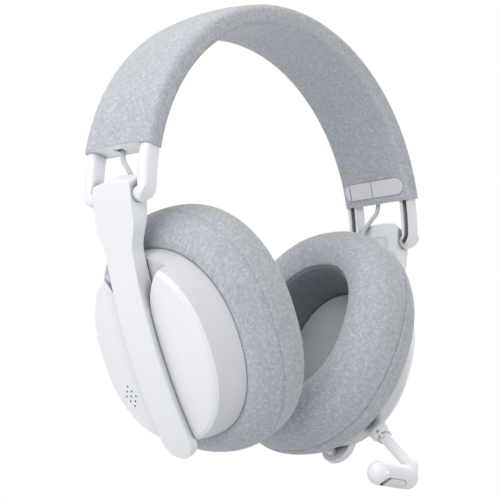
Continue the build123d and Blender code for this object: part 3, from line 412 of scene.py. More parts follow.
def swell(piece, held, pressure, furthest):
    """Lets the foam push the cover out between the held points, by cloth simulation with a cap."""
    make_active(piece)
    group = piece.vertex_groups.new(name="held")
    for index, weight in held.items():
        group.add([index], weight, "REPLACE")
    modifier = piece.modifiers.new("Cover", "CLOTH")
    # A cover that gives a little over firm foam, and doesn't fold.
    cloth = modifier.settings
    cloth.quality = 6
    cloth.mass = 0.2
    cloth.tension_stiffness = cloth.compression_stiffness = 25
    cloth.shear_stiffness = 12
    cloth.bending_stiffness = 3
    cloth.vertex_group_mass = "held"
    cloth.use_pressure = True
    cloth.uniform_pressure_force = pressure
    cloth.effector_weights.gravity = 0
    modifier.collision_settings.use_collision = False
    scene = bpy.context.scene
    for step in range(1, SWELL_FRAMES + 1):
        scene.frame_set(step)
    posed = piece.evaluated_get(bpy.context.evaluated_depsgraph_get())
    moved = [vertex.co.copy() for vertex in posed.data.vertices]
    piece.modifiers.remove(modifier)
    scene.frame_set(1)
    for vertex, to in zip(piece.data.vertices, moved):
        step = to - vertex.co
        if step.length > furthest:
            step *= furthest / step.length
        vertex.co += step
    piece.vertex_groups.remove(group)


# ================================================================ materials
def moulded_plastic(name, colour, roughness, glow=0.0, reach=4.5 * MM, shut_at=0.12, open_at=0.86):
    """Injection-moulded ABS: even colour, a fine eroded grain and edges that catch the light.

    Hollows within reach get painted shade, from the openness shut_at, where it is darkest, to
    open_at.
    """
    material, add = new_material(name)
    place = add("TexCoord")
    # The grain is spark-eroded at about 0.05 mm, drawn at 0.25 mm so that it shows.
    grit = add("TexNoise", {
        "Vector": place.outputs["Object"], "Scale": 1 / (0.25 * MM), "Detail": 2.0})
    cloud = add("TexNoise", {
        "Vector": place.outputs["Object"], "Scale": 1 / (40 * MM), "Detail": 3.0})
    base = linear(colour)
    shade = add("Mix", {
        "Factor": cloud, "A": [0.975 * c for c in base[:3]] + [1], "B": base}, data_type="RGBA")
    # Painted shade: slots, seams and the foot of a step get little light, so their colour is
    # darkened there.
    hollow = add("AmbientOcclusion", {"Distance": reach}, samples=8)
    painted_shade = add("MapRange", {
        "Value": hollow.outputs["AO"], "From Min": shut_at, "From Max": open_at, "To Min": 0.3})
    shade = add("VectorMath", {0: shade, "Scale": painted_shade}, operation="SCALE")
    # Handling polishes the grain a little, so the gloss drifts over a few centimetres.
    gloss = add("MapRange", {
        "Value": cloud, "From Min": 0.3, "From Max": 0.7,
        "To Min": roughness - 0.04, "To Max": roughness + 0.05})
    edge = add("Bevel", {"Radius": settings("shell").edge_round}, samples=4)
    bump = add("Bump", {"Height": grit, "Strength": 0.06, "Distance": 0.02 * MM, "Normal": edge})
    surface = add("BsdfPrincipled", {
        "Base Color": shade, "Roughness": gloss, "Normal": bump, "IOR": 1.53,
        "Emission Color": base, "Emission Strength": glow})
    add("OutputMaterial", {"Surface": surface})
    return material


def knit(name, light, dark, row_pitch, speckle=1.0):
    """Polyester-cotton heather knit: short stitches in rows, each with its own shade, and a nap.

    Speckle is how far one stitch's shade differs from the next, from 0 to 1.
    """
    material, add = new_material(name)
    cloth = settings("knit")
    place = add("UVMap", uv_map="cloth")
    parts = add("SeparateXYZ", {"Vector": place})
    wander = add("TexNoise", {"Vector": place, "Scale": 1 / (7 * MM), "Detail": 1.0})
    row = add("Math", {
        0: parts.outputs["X"], 1: 1 / row_pitch, 2: wander}, operation="MULTIPLY_ADD")
    row_number = add("Math", {0: row}, operation="FLOOR")
    row_part = add("Math", {0: row}, operation="FRACT")
    # Each row starts 0.37 of a stitch further along, as a course of a tuck knit does.
    start = add("Math", {0: row_number, 1: 0.37}, operation="MULTIPLY")
    along = add("Math", {
        0: parts.outputs["Y"], 1: 1 / cloth.stitch_pitch, 2: start}, operation="MULTIPLY_ADD")
    stitch_number = add("Math", {0: along}, operation="FLOOR")
    stitch_part = add("Math", {0: along}, operation="FRACT")

    def hump(part, power):
        """One smooth hump across each stitch."""
        turn = add("Math", {0: part, 1: pi}, operation="MULTIPLY")
        wave = add("Math", {0: turn}, operation="SINE")
        return add("Math", {0: wave, 1: power}, operation="POWER")

    across = hump(row_part, 0.7)
    lengthways = hump(stitch_part, 0.5)
    joined = add("MapRange", {"Value": lengthways, "To Min": 0.45})
    height = add("Math", {0: across, 1: joined}, operation="MULTIPLY")
    number = add("CombineXYZ", {"X": row_number, "Y": stitch_number})
    chance = add("TexWhiteNoise", {"Vector": number}, noise_dimensions="3D")
    fibre = add("TexNoise", {"Vector": place, "Scale": 1 / (0.35 * MM), "Detail": 2.0})
    mottle = add("MapRange", {
        "Value": chance, "To Min": 0.5 - 0.5 * speckle, "To Max": 0.5 + 0.5 * speckle})
    yarn = add("Mix", {"Factor": mottle, "A": linear(dark), "B": linear(light)}, data_type="RGBA")
    # About one stitch in twelve is a brighter polyester fleck.
    fleck = add("Math", {0: chance, 1: 0.92}, operation="GREATER_THAN")
    shine = add("Math", {0: fleck, 1: 0.07 * speckle, 2: 1.0}, operation="MULTIPLY_ADD")
    fuzz = add("MapRange", {
        "Value": fibre, "From Min": 0.3, "From Max": 0.7, "To Min": 0.9, "To Max": 1.08})
    # The gaps between rows open and close from stitch to stitch, so they show as short dark dashes.
    other = add("TexWhiteNoise", {"Vector": number, "W": 1.0}, noise_dimensions="4D")
    opening = add("MapRange", {"Value": other, "To Min": 0.62, "To Max": 0.98})
    gap = add("MapRange", {"Value": height, "To Min": opening, "To Max": 1.06})
    tone = add("Math", {0: fuzz, 1: gap}, operation="MULTIPLY")
    tone = add("Math", {0: tone, 1: shine}, operation="MULTIPLY")
    colour = add("VectorMath", {0: yarn, "Scale": tone}, operation="SCALE")
    relief = add("Math", {0: fibre, 1: 0.25, 2: height}, operation="MULTIPLY_ADD")
    bump = add("Bump", {"Height": relief, "Strength": 0.45, "Distance": 0.14 * MM})
    surface = add("BsdfPrincipled", {
        "Base Color": colour, "Roughness": 0.92, "Sheen Weight": 0.3,
        "Sheen Roughness": 0.5, "Specular IOR Level": 0.2, "Normal": bump})
    add("OutputMaterial", {"Surface": surface})
    return material


def brushed_metal(name, colour, roughness, along=(1, 1, 30)):
    """Rolled or plated steel with fine lines from its finishing."""
    material, add = new_material(name)
    place = add("TexCoord")
    stretch = add("Mapping", {"Vector": place.outputs["Object"], "Scale": along})
    # Lines about 0.1 mm apart.
    lines = add("TexNoise", {"Vector": stretch, "Scale": 1 / (3 * MM), "Detail": 4.0})
    gloss = add("MapRange", {
        "Value": lines, "To Min": roughness - 0.08, "To Max": roughness + 0.12})
    bump = add("Bump", {"Height": lines, "Strength": 0.15, "Distance": 0.01 * MM})
    surface = add("BsdfPrincipled", {
        "Base Color": linear(colour), "Metallic": 1.0, "Roughness": gloss, "Normal": bump})
    add("OutputMaterial", {"Surface": surface})
    return material


def ribbed_cloth(name, colour):
    """Tightly woven polyester over the speaker: fine slanting ribs that hide the holes behind."""
    material, add = new_material(name)
    place = add("UVMap", uv_map="cloth")
    turned = add("Mapping", {"Vector": place, "Rotation": (0, 0, radians(20))})
    # Ribs 1.1 mm apart, drawn a little coarser than the cloth's own 0.6 mm so that they show.
    ribs = add("TexWave", {
        "Vector": turned, "Scale": 2 * pi / 20 / (1.1 * MM), "Distortion": 0.4,
        "Detail": 2.0, "Detail Scale": 3.0}, wave_type="BANDS", bands_direction="X")
    threads = add("TexNoise", {"Vector": place, "Scale": 1 / (0.4 * MM), "Detail": 2.0})
    base = linear(colour)
    mixed = add("Mix", {
        "Factor": ribs.outputs["Fac"], "A": [0.62 * c for c in base[:3]] + [1], "B": base},
        data_type="RGBA")
    relief = add("Math", {0: threads, 1: 0.3, 2: ribs.outputs["Fac"]}, operation="MULTIPLY_ADD")
    bump = add("Bump", {"Height": relief, "Strength": 0.6, "Distance": 0.2 * MM})
    surface = add("BsdfPrincipled", {
        "Base Color": mixed, "Roughness": 0.85, "Sheen Weight": 0.2, "Normal": bump})
    add("OutputMaterial", {"Surface": surface})
    return material


def foam_rubber():
    """Open-cell polyurethane foam, with cells about 0.8 mm across, shared by every foam piece."""
    made = bpy.data.materials.get("open_cell_foam")
    if made:
        return made
    material, add = new_material("open_cell_foam")
    place = add("TexCoord")
    cells = add("TexVoronoi", {"Vector": place.outputs["Object"], "Scale": 1 / (0.8 * MM)})
    shade = add("Mix", {
        "Factor": cells, "A": linear("232629"), "B": linear("4a4e53")}, data_type="RGBA")
    bump = add("Bump", {"Height": cells, "Strength": 0.8, "Distance": 0.3 * MM})
    surface = add("BsdfPrincipled", {"Base Color": shade, "Roughness": 0.95, "Normal": bump})
    add("OutputMaterial", {"Surface": surface})
    return material


# ================================================================ cushion form
# Half length, half width, squareness and height of each panel's lines, round the ring's section in
# mm; a panel ends on the first line of the next one.
SIDE_PANEL = [(40.8, 36.3, 2.17, -14.1), (44.2, 37.9, 2.2, -14.9), (47.2, 39.4, 2.23, -17.2),
              (49.4, 40.7, 2.25, -20.6), (50.8, 41.9, 2.25, -24.2)]
FRONT_PANEL = [(51.3, 42.6, 2.25, -27.6), (51.3, 42.6, 2.25, -32.2), (51.0, 42.3, 2.25, -37.0),
               (49.8, 41.2, 2.25, -41.4), (47.2, 38.7, 2.25, -45.2), (43.6, 35.3, 2.25, -47.4),
               (39.6, 31.8, 2.25, -48.0), (35.8, 28.5, 2.25, -47.3), (32.6, 25.8, 2.25, -45.9)]
WALL_PANEL = [(30.4, 24.0, 2.25, -44.2), (29.5, 23.2, 2.25, -39.0), (29.1, 22.9, 2.27, -30.0)]
BACK_PANEL = [(28.9, 22.7, 2.29, -21.6), (29.8, 23.6, 2.29, -16.6), (37.9, 31.7, 2.29, -16.4),
              (38.2, 32.0, 2.29, -14.7)]
# The panels in order round the ring's section, each with its steps from one line to the next.
PANELS = ((SIDE_PANEL, 2), (FRONT_PANEL, 2), (WALL_PANEL, 3), (BACK_PANEL, 1))
FRONT, WALL, BACK = 1, 2, 3
WALL_SLOT = 1
# The middle of the foam in the ring's section, as half length and height.
FOAM_MIDDLE = (40.5, -31.0)
# The distance from a seam to the lines that are added beside it.
SEAM_STEP = 0.55
# The side panel's line whose length is that of the cloth round the ring.
MEASURED_LINE = 6
# How far a stitch pulls the cover in, and how far that drifts from stitch to stitch.
STITCH_PULL, STITCH_DRIFT, DRIFT_TURN = 0.14 * MM, 0.05 * MM, 1.7

# The speaker cloth in the cup's own frame, in mm; a thin foam disc lies under it.
CLOTH_HALF_S, CLOTH_HALF_Y = 28.2, 22.0
CLOTH_POWER = 2.29
CLOTH_FRONT, CLOTH_DOME = -22.6, 1.4
CLOTH_THICKNESS = 0.45 * MM
CLOTH_COLUMNS, CLOTH_ROWS = 64, 12
# Half length and height of the foam disc's lines, from its front's middle round to its back.
FOAM_FRONT, FOAM_BACK = CLOTH_FRONT + 0.4, -19.2
FOAM_LINES = [(1.0, FOAM_FRONT), (6.0, FOAM_FRONT - CLOTH_DOME),
              (16.0, FOAM_FRONT - 0.8 * CLOTH_DOME), (24.0, FOAM_FRONT - 0.3 * CLOTH_DOME),
              (27.0, FOAM_FRONT + 0.2), (27.6, FOAM_FRONT + 1.0), (27.4, FOAM_BACK - 0.3),
              (26.6, FOAM_BACK), (1.0, FOAM_BACK)]


class HEADSET_OT_cushions(bpy.types.Operator):
    """Builds both ear cushions: three sewn panels round a foam ring."""

    bl_idname = "headset.cushions"
    bl_label = "Ear cushions"

    def execute(self, context):
        values = settings("cushion")
        cloth = settings("knit")
        columns = values.columns
        stations, panels = [], []
        for number, (panel, steps) in enumerate(PANELS):
            following, _ = PANELS[(number + 1) % len(PANELS)]
            lines = curve_through(panel + following[:1], steps)
            stations += lines
            panels += [number] * len(lines)
        seams = [panels.index(FRONT), panels.index(WALL)]
        stations, panels, seams = self.narrow_seams(stations, panels, seams, values.seam_depth / MM)

        rings = [oval_ring(*station, columns) for station in stations]
        depth = [0.0]
        for before, after in zip(stations, stations[1:] + stations[:1]):
            depth.append(depth[-1] + hypot(after[0] - before[0], after[3] - before[3]) * MM)
        length = [0.0]
        measured = rings[MEASURED_LINE]
        for before, after in zip(measured, measured[1:] + measured[:1]):
            length.append(length[-1] + (after - before).length)
        middle_station = (seams[0] + seams[1]) // 2

        def place_in_cloth(row, ring, column):
            """The front panel is cut flat, as a ring; the others are strips."""
            if panels[row] != FRONT:
                return length[column], depth[ring]
            half_s, half_y, power, _ = stations[ring % len(stations)]
            out = stations[middle_station][0] + (depth[middle_station] - depth[ring]) / MM
            s, y = oval(half_s, half_y, power, 2 * pi * (column % columns) / columns)
            return s * out / half_s * MM, y * out / half_s * MM

        outer = knit(
            "heather_knit", cloth.light_yarn, cloth.dark_yarn, cloth.row_pitch, speckle=0.75)
        # Painted shade: the well's wall gets the darker copy of the knit.
        wall = knit(
            "well_wall_shaded_knit", cloth.wall_shaded_yarn, cloth.wall_shaded_dark_yarn, cloth.row_pitch, speckle=0.6)
        for side in SIDES:
            piece = quilt(f"cushion_cover_{side}", rings, place_in_cloth, joined=True)
            mesh = piece.data
            mesh.materials.append(outer)
            mesh.materials.append(wall)
            for face in mesh.polygons:
                if panels[face.index // columns] == WALL:
                    face.material_index = WALL_SLOT
            face_outwards(piece)
            held = {}
            for ring, panel in enumerate(panels):
                fixed = panel == BACK or ring in (0, *seams)
                for column in range(columns):
                    held[ring * columns + column] = 1.0 if fixed else 0.0
            swell(piece, held, values.pressure, values.swell)
            self.pucker(mesh, seams, columns)
            mesh.transform(cup_matrix(side))
            if side == "r":
                mesh.flip_normals()
            apply_modifier(piece, "SUBSURF", levels=1, render_levels=1)
            smooth(piece, 60)
            finish_piece(piece, f"cup_{side}", "cushion_knit", f"cushion_{side}")
        return {"FINISHED"}

    def narrow_seams(self, stations, panels, seams, seam_depth):
        """Adds a line close to each side of a seam and pulls the seam in towards the foam."""
        found, kinds, places = [], [], []
        for index, station in enumerate(stations):
            if index not in seams:
                found.append(station)
                kinds.append(panels[index])
                continue
            half_s, half_y, power, height = station
            before, after = stations[index - 1], stations[index + 1]
            near = []
            for other in (before, after):
                part = SEAM_STEP / hypot(other[0] - half_s, other[3] - height)
                near.append(tuple(p + (q - p) * part for p, q in zip(station, other)))
            along = Vector((after[0] - before[0], after[3] - before[3])).normalized()
            inward = Vector((-along.y, along.x))
            if inward.dot(Vector((FOAM_MIDDLE[0] - half_s, FOAM_MIDDLE[1] - height))) < 0:
                inward = -inward
            pulled = (half_s + inward.x * seam_depth, half_y + inward.x * seam_depth,
                      power, height + inward.y * seam_depth)
            places.append(len(found) + 1)
            found += [near[0], pulled, near[1]]
            kinds += [panels[index - 1], panels[index], panels[index]]
        return found, kinds, places

    def pucker(self, mesh, seams, columns):
        """Draws the cover in at every second stitch of the seams, on the lines next to them."""
        mesh.update()
        normals = [vertex.normal.copy() for vertex in mesh.vertices]
        for seam in seams:
            for ring in (seam - 1, seam + 1):
                for column in range(columns):
                    index = ring * columns + column
                    pull = STITCH_PULL * (column % 2) + STITCH_DRIFT * sin(column * DRIFT_TURN)
                    mesh.vertices[index].co -= normals[index] * pull


class HEADSET_OT_speaker_cloths(bpy.types.Operator):
    """Stretches the ribbed cloth over each baffle's stage."""

    bl_idname = "headset.speaker_cloths"
    bl_label = "Speaker cloths"

    def execute(self, context):
        material = ribbed_cloth("speaker_weave", "c3c9ce")
        rings = []
        for row in range(CLOTH_ROWS):
            size = 1 - row / CLOTH_ROWS
            rings.append(oval_ring(CLOTH_HALF_S * size, CLOTH_HALF_Y * size, CLOTH_POWER,
                                   CLOTH_FRONT - CLOTH_DOME * (1 - size ** 2), CLOTH_COLUMNS))
        for side in SIDES:
            piece = quilt(f"speaker_mesh_{side}", rings)
            mesh = piece.data
            mesh.materials.append(material)
            self.close_middle(piece, (CLOTH_ROWS - 1) * CLOTH_COLUMNS)
            layer = mesh.uv_layers["cloth"]
            for loop in mesh.loops:
                point = mesh.vertices[loop.vertex_index].co
                layer.data[loop.index].uv = (point.x, point.y)
            mesh.transform(cup_matrix(side))
            if side == "r":
                mesh.flip_normals()
            self.foam_disc(side)
            apply_modifier(piece, "SOLIDIFY", thickness=CLOTH_THICKNESS, offset=0)
            face_outwards(piece)
            smooth(piece)
            finish_piece(piece, f"cup_{side}", "speaker_cloth", f"speaker_cloth_{side}")
        return {"FINISHED"}

    def close_middle(self, piece, first):
        """Draws the innermost ring of points, from the first one on, together into one."""
        with editing(piece):
            form = bmesh.from_edit_mesh(piece.data)
            for vertex in form.verts:
                vertex.select = vertex.index >= first
            form.select_flush_mode()
            bmesh.update_edit_mesh(piece.data)
            bpy.ops.mesh.merge(type="CENTER")

    def foam_disc(self, side):
        """Thin foam between the baffle's stage and the cloth."""
        ratio = CLOTH_HALF_Y / CLOTH_HALF_S
        rings = [oval_ring(half, half * ratio, CLOTH_POWER, height, CLOTH_COLUMNS)
                 for half, height in FOAM_LINES]
        piece = quilt(f"speaker_foam_{side}", rings, joined=True)
        piece.data.transform(cup_matrix(side))
        piece.data.materials.append(foam_rubber())
        face_outwards(piece)
        smooth(piece, 50)
        finish_piece(piece, f"cup_{side}", "foam")


# ================================================================ band
def band_outline(per_arc=6, per_side=16):
    """The sleeve's cross-section, rounded and crowned, as radii from the band's centre and y."""
    half = BAND_WIDTH / 2
    inner, outer = BAND_INNER_RADIUS, BAND_INNER_RADIUS + BAND_THICKNESS
    points = []

    def corner(radius, y, edge, start):
        for step in range(per_arc + 1):
            turn = start + pi / 2 * step / per_arc
            points.append((radius + edge * cos(turn), y + edge * sin(turn)))

    corner(inner + BAND_INNER_EDGE, half - BAND_INNER_EDGE, BAND_INNER_EDGE, pi / 2)
    inner_run = half - BAND_INNER_EDGE
    points += [(inner, inner_run * (1 - 2 * step / per_side)) for step in range(1, per_side)]
    corner(inner + BAND_INNER_EDGE, BAND_INNER_EDGE - half, BAND_INNER_EDGE, pi)
    corner(outer - BAND_OUTER_EDGE, BAND_OUTER_EDGE - half, BAND_OUTER_EDGE, -pi / 2)
    outer_run = half - BAND_OUTER_EDGE
    for step in range(1, per_side):
        y = outer_run * (2 * step / per_side - 1)
        points.append((outer + BAND_CROWN * (1 - (y / outer_run) ** 2), y))
    corner(outer - BAND_OUTER_EDGE, half - BAND_OUTER_EDGE, BAND_OUTER_EDGE, 0)
    return points


def on_band(radius, y, angle):
    """A point on the band: distance from its centre, y, and angle from the crown."""
    return BAND_CENTRE + Vector((radius * sin(angle), y, radius * cos(angle)))


class HEADSET_OT_band_sleeve(bpy.types.Operator):
    """Builds the knit sleeve of the band and cuts it where the trim is let in."""

    bl_idname = "headset.band_sleeve"
    bl_label = "Band sleeve"

    def execute(self, context):
        cloth = settings("knit")
        outline = band_outline()
        stations = 150
        rings = []
        for station in range(stations + 1):
            angle = BAND_HALF_ANGLE * (2 * station / stations - 1)
            rings.append([on_band(radius, y, angle) for radius, y in outline])
        middle_radius = BAND_INNER_RADIUS + BAND_THICKNESS / 2
        girth = [0.0]
        for before, after in zip(outline, outline[1:] + outline[:1]):
            girth.append(girth[-1] + hypot(after[0] - before[0], after[1] - before[1]))

        def place_in_cloth(row, ring, column):
            return middle_radius * BAND_HALF_ANGLE * (2 * ring / stations - 1), girth[column]

        piece = quilt("band_sleeve", rings, place_in_cloth)
        piece.data.materials.append(knit(
            "band_knit", cloth.light_yarn, cloth.dark_yarn, cloth.band_pitch, speckle=0.7))
        face_outwards(piece)
        columns = len(outline)
        held = {index: 1.0 if index < columns * 2 or index >= columns * (stations - 1) else 0.0
                for index in range(columns * (stations + 1))}
        swell(piece, held, BAND_PRESSURE, BAND_SWELL)
        apply_modifier(
            piece, "SOLIDIFY", thickness=cloth.cloth_thickness, offset=-1, use_even_offset=True)
        self.cut_for_trim(piece)
        smooth(piece, 50)
        finish_piece(piece, "headband", "knit_cover", "band_cover")
        self.foam_core()
        return {"FINISHED"}

    def foam_core(self):
        """The foam inside the sleeve, with the soft edges that a knife leaves in foam."""
        piece = copy_node("band_pad", "band_foam", foam_rubber())
        apply_modifier(piece, "REMESH", mode="VOXEL", voxel_size=1.3 * MM)
        apply_modifier(piece, "SMOOTH", factor=0.5, iterations=3)
        smooth(piece, 60)
        finish_piece(piece, "headband", "foam", "band_pad")

    def cut_for_trim(self, piece):
        """Cuts the pill-shaped hole round the trim through the sleeve's inner wall."""
        low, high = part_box("inner_trim")
        middle = (low + high) / 2
        inward = BAND_CENTRE - middle
        inward.y = 0
        inward.normalize()
        length, height = high.y - low.y + TRIM_GAP, TRIM_HEIGHT + TRIM_GAP
        clear_selection()
        bpy.ops.mesh.primitive_cylinder_add(
            vertices=48, radius=height / 2, depth=6 * MM, location=(0, 0, 0))
        cutter = bpy.context.object
        # The halves move apart; the points between them stay in the middle.
        for vertex in cutter.data.vertices:
            if abs(vertex.co.x) > 1e-6:
                vertex.co.x += copysign((length - height) / 2, vertex.co.x)
        rear = Vector((0, 1, 0))
        turn = Matrix((rear, inward.cross(rear), inward)).transposed().to_4x4()
        cutter.data.transform(Matrix.Translation(middle) @ turn)
        cut_away(piece, cutter)


# ================================================================ leads and screws
class HEADSET_OT_leads(bpy.types.Operator):
    """Runs each lead from the band past its arm into the cup."""

    bl_idname = "headset.leads"
    bl_label = "Leads"

    def execute(self, context):
        # A soft TPE jacket: even grey, with the faint skin that extrusion leaves.
        material = moulded_plastic("lead_jacket", "cfd3d2", 0.5)
        trunnion = next(Vector(joint["pos_m"]) for joint in frame["record"]["behaviour"]["joints"]
                        if joint["name"] == "arm_l_tilt")
        for side, sign in SIDES.items():
            points = [on_band(LEAD_ARC_RADIUS, LEAD_Y, radians(angle)) for angle in LEAD_ANGLES]
            points += [trunnion + Vector(point) * MM for point in LEAD_ROUTES[side]]
            points.append(cup_matrix("l") @ (Vector(LEAD_END) * MM))
            points = [Vector((sign * point.x, point.y, point.z)) for point in points]
            curve = bpy.data.curves.new(f"lead_cable_{side}", "CURVE")
            curve.dimensions = "3D"
            spline = curve.splines.new("NURBS")
            spline.points.add(len(points) - 1)
            for target, point in zip(spline.points, points):
                target.co = (*point, 1)
            spline.order_u = 3
            spline.use_endpoint_u = True
            spline.resolution_u = 16
            curve.bevel_depth = LEAD_RADIUS
            curve.bevel_resolution = 5
            curve.use_fill_caps = True
            make_active(new_object(f"lead_cable_{side}", curve))
            bpy.ops.object.convert(target="MESH")
            piece = bpy.context.object
            paint(piece, material)
            smooth(piece)
            finish_piece(piece, None, "lead_grey", f"lead_{side}")
            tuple(points[3])
            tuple(points[5])
            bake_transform(piece)
        return {"FINISHED"}


class HEADSET_OT_screws(bpy.types.Operator):
    """Gives the arms' and baffles' screws a cross recess."""

    bl_idname = "headset.screws"
    bl_label = "Screws"

    def execute(self, context):
        material = brushed_metal("zinc_screw", "9b9ea3", 0.35)
        for side in SIDES:
            self.build(f"arm_screws_{side}", f"arm_{side}", material)
            self.build(f"baffle_screws_{side}", f"cup_{side}", material)
        return {"FINISHED"}

    def build(self, node, body, material):
        """Copies a node's screws, adds the cross to each head and hands them over."""
        piece = copy_node(node, node.replace("screws", "screw_set"), material)
        with editing(piece):
            bpy.ops.mesh.separate(type="LOOSE")
        loose = [o for o in bpy.context.selected_objects if o.type == "MESH"]
        for screw in loose:
            self.cut_cross(screw)
        join_pieces(loose, piece)
        smooth(piece, 30)
        finish_piece(piece, body, "screw_steel", node)

    def cut_cross(self, screw):
        """Cuts a cross into the head: the largest face by the point furthest from the middle."""
        points = [vertex.co for vertex in screw.data.vertices]
        middle = sum(points, Vector()) / len(points)
        far = max(points, key=lambda p: (p - middle).length)
        faces = sorted(screw.data.polygons, key=lambda f: -f.area)
        head = next(f for f in faces if (f.center - middle).dot(f.normal) > 0
                    and abs((far - f.center).dot(f.normal)) < HEAD_ROUNDING)
        axis = head.normal.copy()
        top = max(p.dot(axis) for p in points)
        rim = [p for p in points if p.dot(axis) > top - HEAD_FLATNESS]
        place = Matrix.Translation(sum(rim, Vector()) / len(rim)) @ axis.to_track_quat(
            "Z", "Y").to_matrix().to_4x4()
        for length, width in (CROSS_BAR, CROSS_BAR[::-1]):
            bpy.ops.mesh.primitive_cube_add(size=1, location=(0, 0, 0))
            bar = bpy.context.object
            bar.data.transform(place @ Matrix.Diagonal((length, width, 2 * CROSS_DEPTH, 1)))
            cut_away(screw, bar)


class HEADSET_OT_vent_painted_shade(bpy.types.Operator):
    """Lays black discs just under the diamond of vent holes in the right rear plate, as painted
    shade in the holes.
    """

    bl_idname = "headset.vent_gauze"
    bl_label = "Vent painted shade"

    def execute(self, context):
        clear_selection()
        discs = []
        for row in range(-VENT_ROWS, VENT_ROWS + 1):
            for column in range(abs(row) - VENT_ROWS, VENT_ROWS - abs(row) + 1, 2):
                s, y = VENT_MIDDLE[0] + row * VENT_STEP[0], VENT_MIDDLE[1] + column * VENT_STEP[1]
                dome = PLATE_RISE - PLATE_RADIUS + sqrt(PLATE_RADIUS ** 2 - s ** 2 - y ** 2)
                middle = Vector((s, y, dome - VENT_PAINTED_SHADE_DEPTH)) * MM
                bpy.ops.mesh.primitive_cylinder_add(
                    vertices=24, radius=VENT_RADIUS * MM, depth=VENT_PAINTED_SHADE_THICKNESS * MM,
                    location=(0, 0, 0))
                disc = bpy.context.object
                disc.data.transform(cup_matrix("r") @ Matrix.Translation(middle))
                discs.append(disc)
        piece = discs[0]
        join_pieces(discs, piece)
        piece.name = "vent_gauze"
        piece.data.materials.append(moulded_plastic("black_painted_shade", "17181a", 0.8))
        face_outwards(piece)
        smooth(piece)
        finish_piece(piece, "cup_r", "black_plastic")
        return {"FINISHED"}


# ================================================================ finishes of the CAD nodes
class HEADSET_OT_finishes(bpy.types.Operator):
    """Gives every moulded, metal and electrical piece its finish."""

    bl_idname = "headset.finishes"
    bl_label = "Finishes"

    def execute(self, context):
        shell = settings("shell")
        finishes = {slot: moulded_plastic(*finish) for slot, finish in {
            "white_shell": ("white_abs", shell.white, shell.roughness),
            "inner_cover_white": ("inner_cover_abs", shell.inner_white, 0.45),
            "trim_grey": ("trim_abs", shell.trim, 0.4),
            "switch_grey": ("switch_abs", "e6e7e9", 0.42),
            "black_plastic": ("black_abs", "232528", 0.5),
            "light_pipe": ("frosted_acrylic", "f2f5f7", 0.25, 0.7),
            "battery_wrap": ("battery_foil", "b9bec6", 0.35),
            "board_green": ("solder_mask", "1f5a3a", 0.3)}.items()}
        finishes |= {slot: brushed_metal(*finish) for slot, finish in {
            "spring_steel": ("spring_steel_strip", "b4b8bd", 0.3, (1, 30, 1)),
            "screw_steel": ("zinc_plate", "9b9ea3", 0.35),
            "driver_metal": ("driver_plate", "a3a7ac", 0.3),
            "socket_steel": ("nickel_plate", "b9babd", 0.22)}.items()}
        # Pieces of their own stand in for every node of these slots.
        replaced = moulded_plastic("replaced_node", "b5babf", 0.9)
        finishes |= dict.fromkeys(
            ("foam", "knit_cover", "cushion_knit", "speaker_cloth", "lead_grey"), replaced)
        nodes = frame["nodes"]
        for part in frame["record"]["subparts"]:
            paint(nodes[part["node"]], finishes[part["material_slot"]])
        # Painted shade: the flared walls are a darker copy of the white plastic, with a satin
        # roughness.
        satin_and_shade = moulded_plastic("satin_and_shade_shell_abs", shell.wall_shaded_white, 0.42)
        # The plates lie lower than the blade between them, which shades them for a few millimetres.
        plate = moulded_plastic("plate_abs", shell.white, shell.roughness, reach=9 * MM,
                                shut_at=0.45, open_at=0.96)
        for side in SIDES:
            paint(nodes[f"cup_shell_{side}"], satin_and_shade)
            paint(nodes[f"front_plate_{side}"], plate)
            paint(nodes[f"rear_plate_{side}"], plate)
        return {"FINISHED"}


